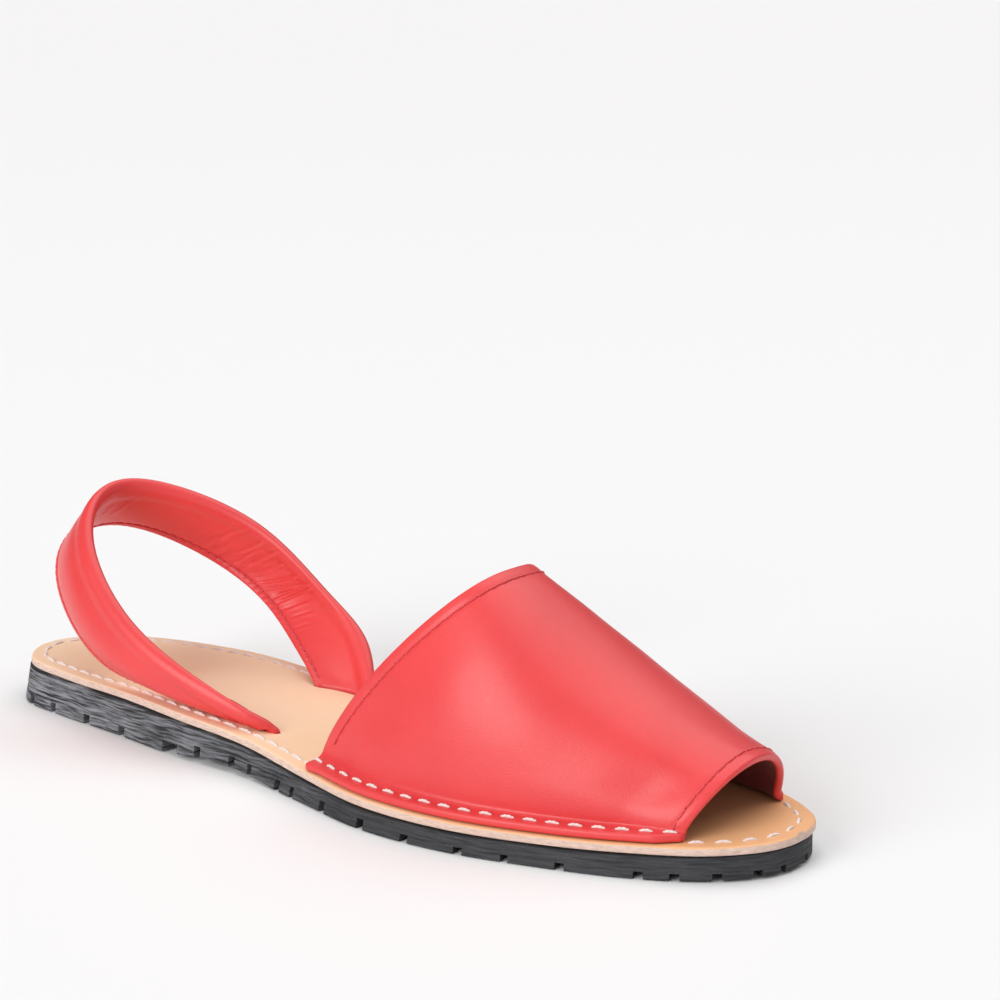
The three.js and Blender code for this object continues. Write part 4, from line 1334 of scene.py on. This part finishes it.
def welt_lines(last, sizes):
    """Four runs: over each flange of the vamp, and on the insole round the heel and toe."""
    line = last.offset(-sizes.welt_inset / MM)
    lift = sizes.upper_thick / MM + last.gap
    x, outer = line[:, 0], line[:, 1] < 0
    back, front = (np.where(outer, row[1], row[2]) * last.foot for row in VAMP[[0, -1]])
    flange = (x > back + TOPLINE_CLEAR) & (x < front - MOUTH_CLEAR)
    zones = ((flange & outer, FLANGE_STRETCH, lift), (flange & ~outer, FLANGE_STRETCH, lift),
             (x < back - WELT_CLEAR, HEEL_STRETCH, 0), (x > front + WELT_CLEAR, TOE_STRETCH, 0))
    runs = []
    for zone, stretch, rise in zones:
        index = np.where(zone)[0]
        jump = np.where(np.diff(index) > 1)[0]
        if len(jump):
            index = np.concatenate([index[jump[0] + 1:], index[:jump[0] + 1]])
        p = line[index]
        up = np.tile((0.0, 0.0, 1.0), (len(p), 1))
        runs.append((np.column_stack([p, last.top(p[:, 0]) + rise]), up, stretch))
    return runs


def vamp_lines(last, sizes):
    inset = sizes.top_inset / MM
    grid, normal, around, gone = Vamp(last, sizes).surface(inset)
    keep = np.where((around[0] > 0.05) & (around[0] < 0.95))[0]
    runs = []
    for order in (1, -1):
        g, n = grid[::order], normal[::order]
        from_edge = gone if order > 0 else (gone[-1:] - gone)[::-1]
        line, ups = [], []
        for c in keep:
            k = np.interp(inset, from_edge[:, c], np.arange(len(g)))
            i, f = int(k), k - int(k)
            line.append(mix(g[i, c], g[i + 1, c], f))
            ups.append(mix(n[i, c], n[i + 1, c], f))
        runs.append((np.array(line), unit(np.array(ups)), 1.0))
    return runs


def strap_lines(last, sizes):
    t = np.linspace(0.03, 0.985, 500)
    fold, across, out, width, bow, thick = Strap(last, sizes).frame(t)
    w = 1 - (sizes.strap_inset / MM) / width
    share, (outer, inner) = rounded_table(BAND, 200)
    runs = []
    for face, half in ((1, outer), (-1, inner)):
        off = bow * 4 * w * (1 - w) + face * (np.interp(w, share, half) * thick - SEAM_SINK)
        line = fold + across * (width * w)[:, None] + out * off[:, None]
        runs.append((line, out * face, 1.0))
    return runs


class SANDAL_OT_stitching(bpy.types.Operator):
    """Sew the white sole stitches and the red topstitches"""
    bl_idname = "sandal.stitching"
    bl_label = "Stitching"

    def execute(self, context):
        sizes, colours, last = given_by(context.scene)
        white = material_named("waxed thread, natural white", spun_thread,
                               colours.white_thread, 0.6)
        red = material_named("polyester thread, red", spun_thread, colours.red_thread, 0.45)
        hole = material_named("stitch hole in dyed leather", needle_hole, colours)
        thick, thin = sizes.welt_thread, sizes.top_thread
        welt = {"Pitch": sizes.welt_pitch, "Stitch length": sizes.welt_stitch, "Thread": thick,
                "Sink": thick * WELT_SINK, "Turns": 2.0, "Seed": sizes.seed, "Material": white}
        body = stitch_run("sole_stitches", welt_lines(last, sizes), welt)
        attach(body, "root")
        for name, lines, pitch in (("vamp_topstitch", vamp_lines, sizes.top_pitch),
                                   ("strap_topstitch", strap_lines, sizes.strap_pitch)):
            top = {"Pitch": pitch, "Stitch length": pitch - TOP_SPACE * MM, "Thread": thin,
                   "Sink": thin * TOP_SINK, "Turns": 1.0, "Holes": True, "Hole": thin * TOP_HOLE,
                   "Seed": sizes.seed + 1, "Material": red, "Hole material": hole}
            body = stitch_run(name, lines(last, sizes), top)
            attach(body, "root")
        return {"FINISHED"}


class SANDAL_OT_stage(bpy.types.Operator):
    """Set the pale floor, the soft studio lights and the camera"""
    bl_idname = "sandal.stage"
    bl_label = "Stage"

    def execute(self, context):
        scene = context.scene
        scene.view_settings.view_transform = "Standard"
        scene.view_settings.look = "None"
        turn = np.linspace(0, 2 * math.pi, 96, endpoint=False)
        ring = np.stack([np.cos(turn), np.sin(turn), 0 * turn], 1) * FLOOR_RADIUS
        mesh = bpy.data.meshes.new("floor")
        mesh.from_pydata(ring.tolist(), [], [tuple(range(len(ring)))])
        mesh.materials.append(material_named("paper, matt white", matt_paper))
        floor = add_object("floor", mesh)
        floor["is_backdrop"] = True
        scene.world = bpy.data.worlds.new("studio")
        scene.world.use_nodes = True
        background = scene.world.node_tree.nodes["Background"].inputs
        background["Color"].default_value = rgba(linear(SKY))
        background["Strength"].default_value = SKY_STRENGTH
        for name, place, spread, strength in SUNS:
            sun = bpy.data.lights.new(name, "SUN")
            sun.angle = math.radians(spread)
            sun.energy = strength
            light = add_object(name, sun)
            light.location = place
            light.rotation_euler = Vector(place).to_track_quat("Z", "Y").to_euler()
        data = bpy.data.cameras.new("camera")
        data.sensor_width, data.lens, data.clip_end = 36, CAMERA_LENS, 50
        camera = add_object("camera", data)
        camera.location = CAMERA_PLACE
        way = Vector(CAMERA_TARGET) - camera.location
        camera.rotation_euler = way.to_track_quat("-Z", "Y").to_euler()
        scene.camera = camera
        return {"FINISHED"}


class SANDAL_PT_panel(bpy.types.Panel):
    """The sandal's sizes, colours and pieces"""
    bl_idname = "SANDAL_PT_panel"
    bl_label = "Sandal"
    bl_space_type = "VIEW_3D"
    bl_region_type = "UI"
    bl_category = "Sandal"

    def draw(self, context):
        for group in (context.scene.sandal_sizes, context.scene.sandal_colours):
            column = self.layout.column()
            for name in group.bl_rna.properties.keys():
                if name not in ("rna_type", "name"):
                    column.prop(group, name)
        for operator in OPERATORS:
            self.layout.operator(operator.bl_idname)


OPERATORS = (SANDAL_OT_outsole, SANDAL_OT_insole, SANDAL_OT_vamp, SANDAL_OT_heel_strap,
             SANDAL_OT_stitching, SANDAL_OT_stage)
CLASSES = (SandalSizes, SandalColours, *OPERATORS, SANDAL_PT_panel)


def register():
    for cls in CLASSES:
        bpy.utils.register_class(cls)
    bpy.types.Scene.sandal_sizes = PointerProperty(type=SandalSizes)
    bpy.types.Scene.sandal_colours = PointerProperty(type=SandalColours)


def unregister():
    del bpy.types.Scene.sandal_colours
    del bpy.types.Scene.sandal_sizes
    for cls in reversed(CLASSES):
        bpy.utils.unregister_class(cls)


def main():
    register()
    bpy.ops.sandal.outsole()
    bpy.ops.sandal.insole()
    bpy.ops.sandal.vamp()
    bpy.ops.sandal.heel_strap()
    bpy.ops.sandal.stitching()
    bpy.ops.sandal.stage()
    boxes = {"cad": SOLID_BOX, "visual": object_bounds()}
    plain = {name: [[float(v) for v in corner] for corner in box] for name, box in boxes.items()}


if __name__ == "__main__":
    main()
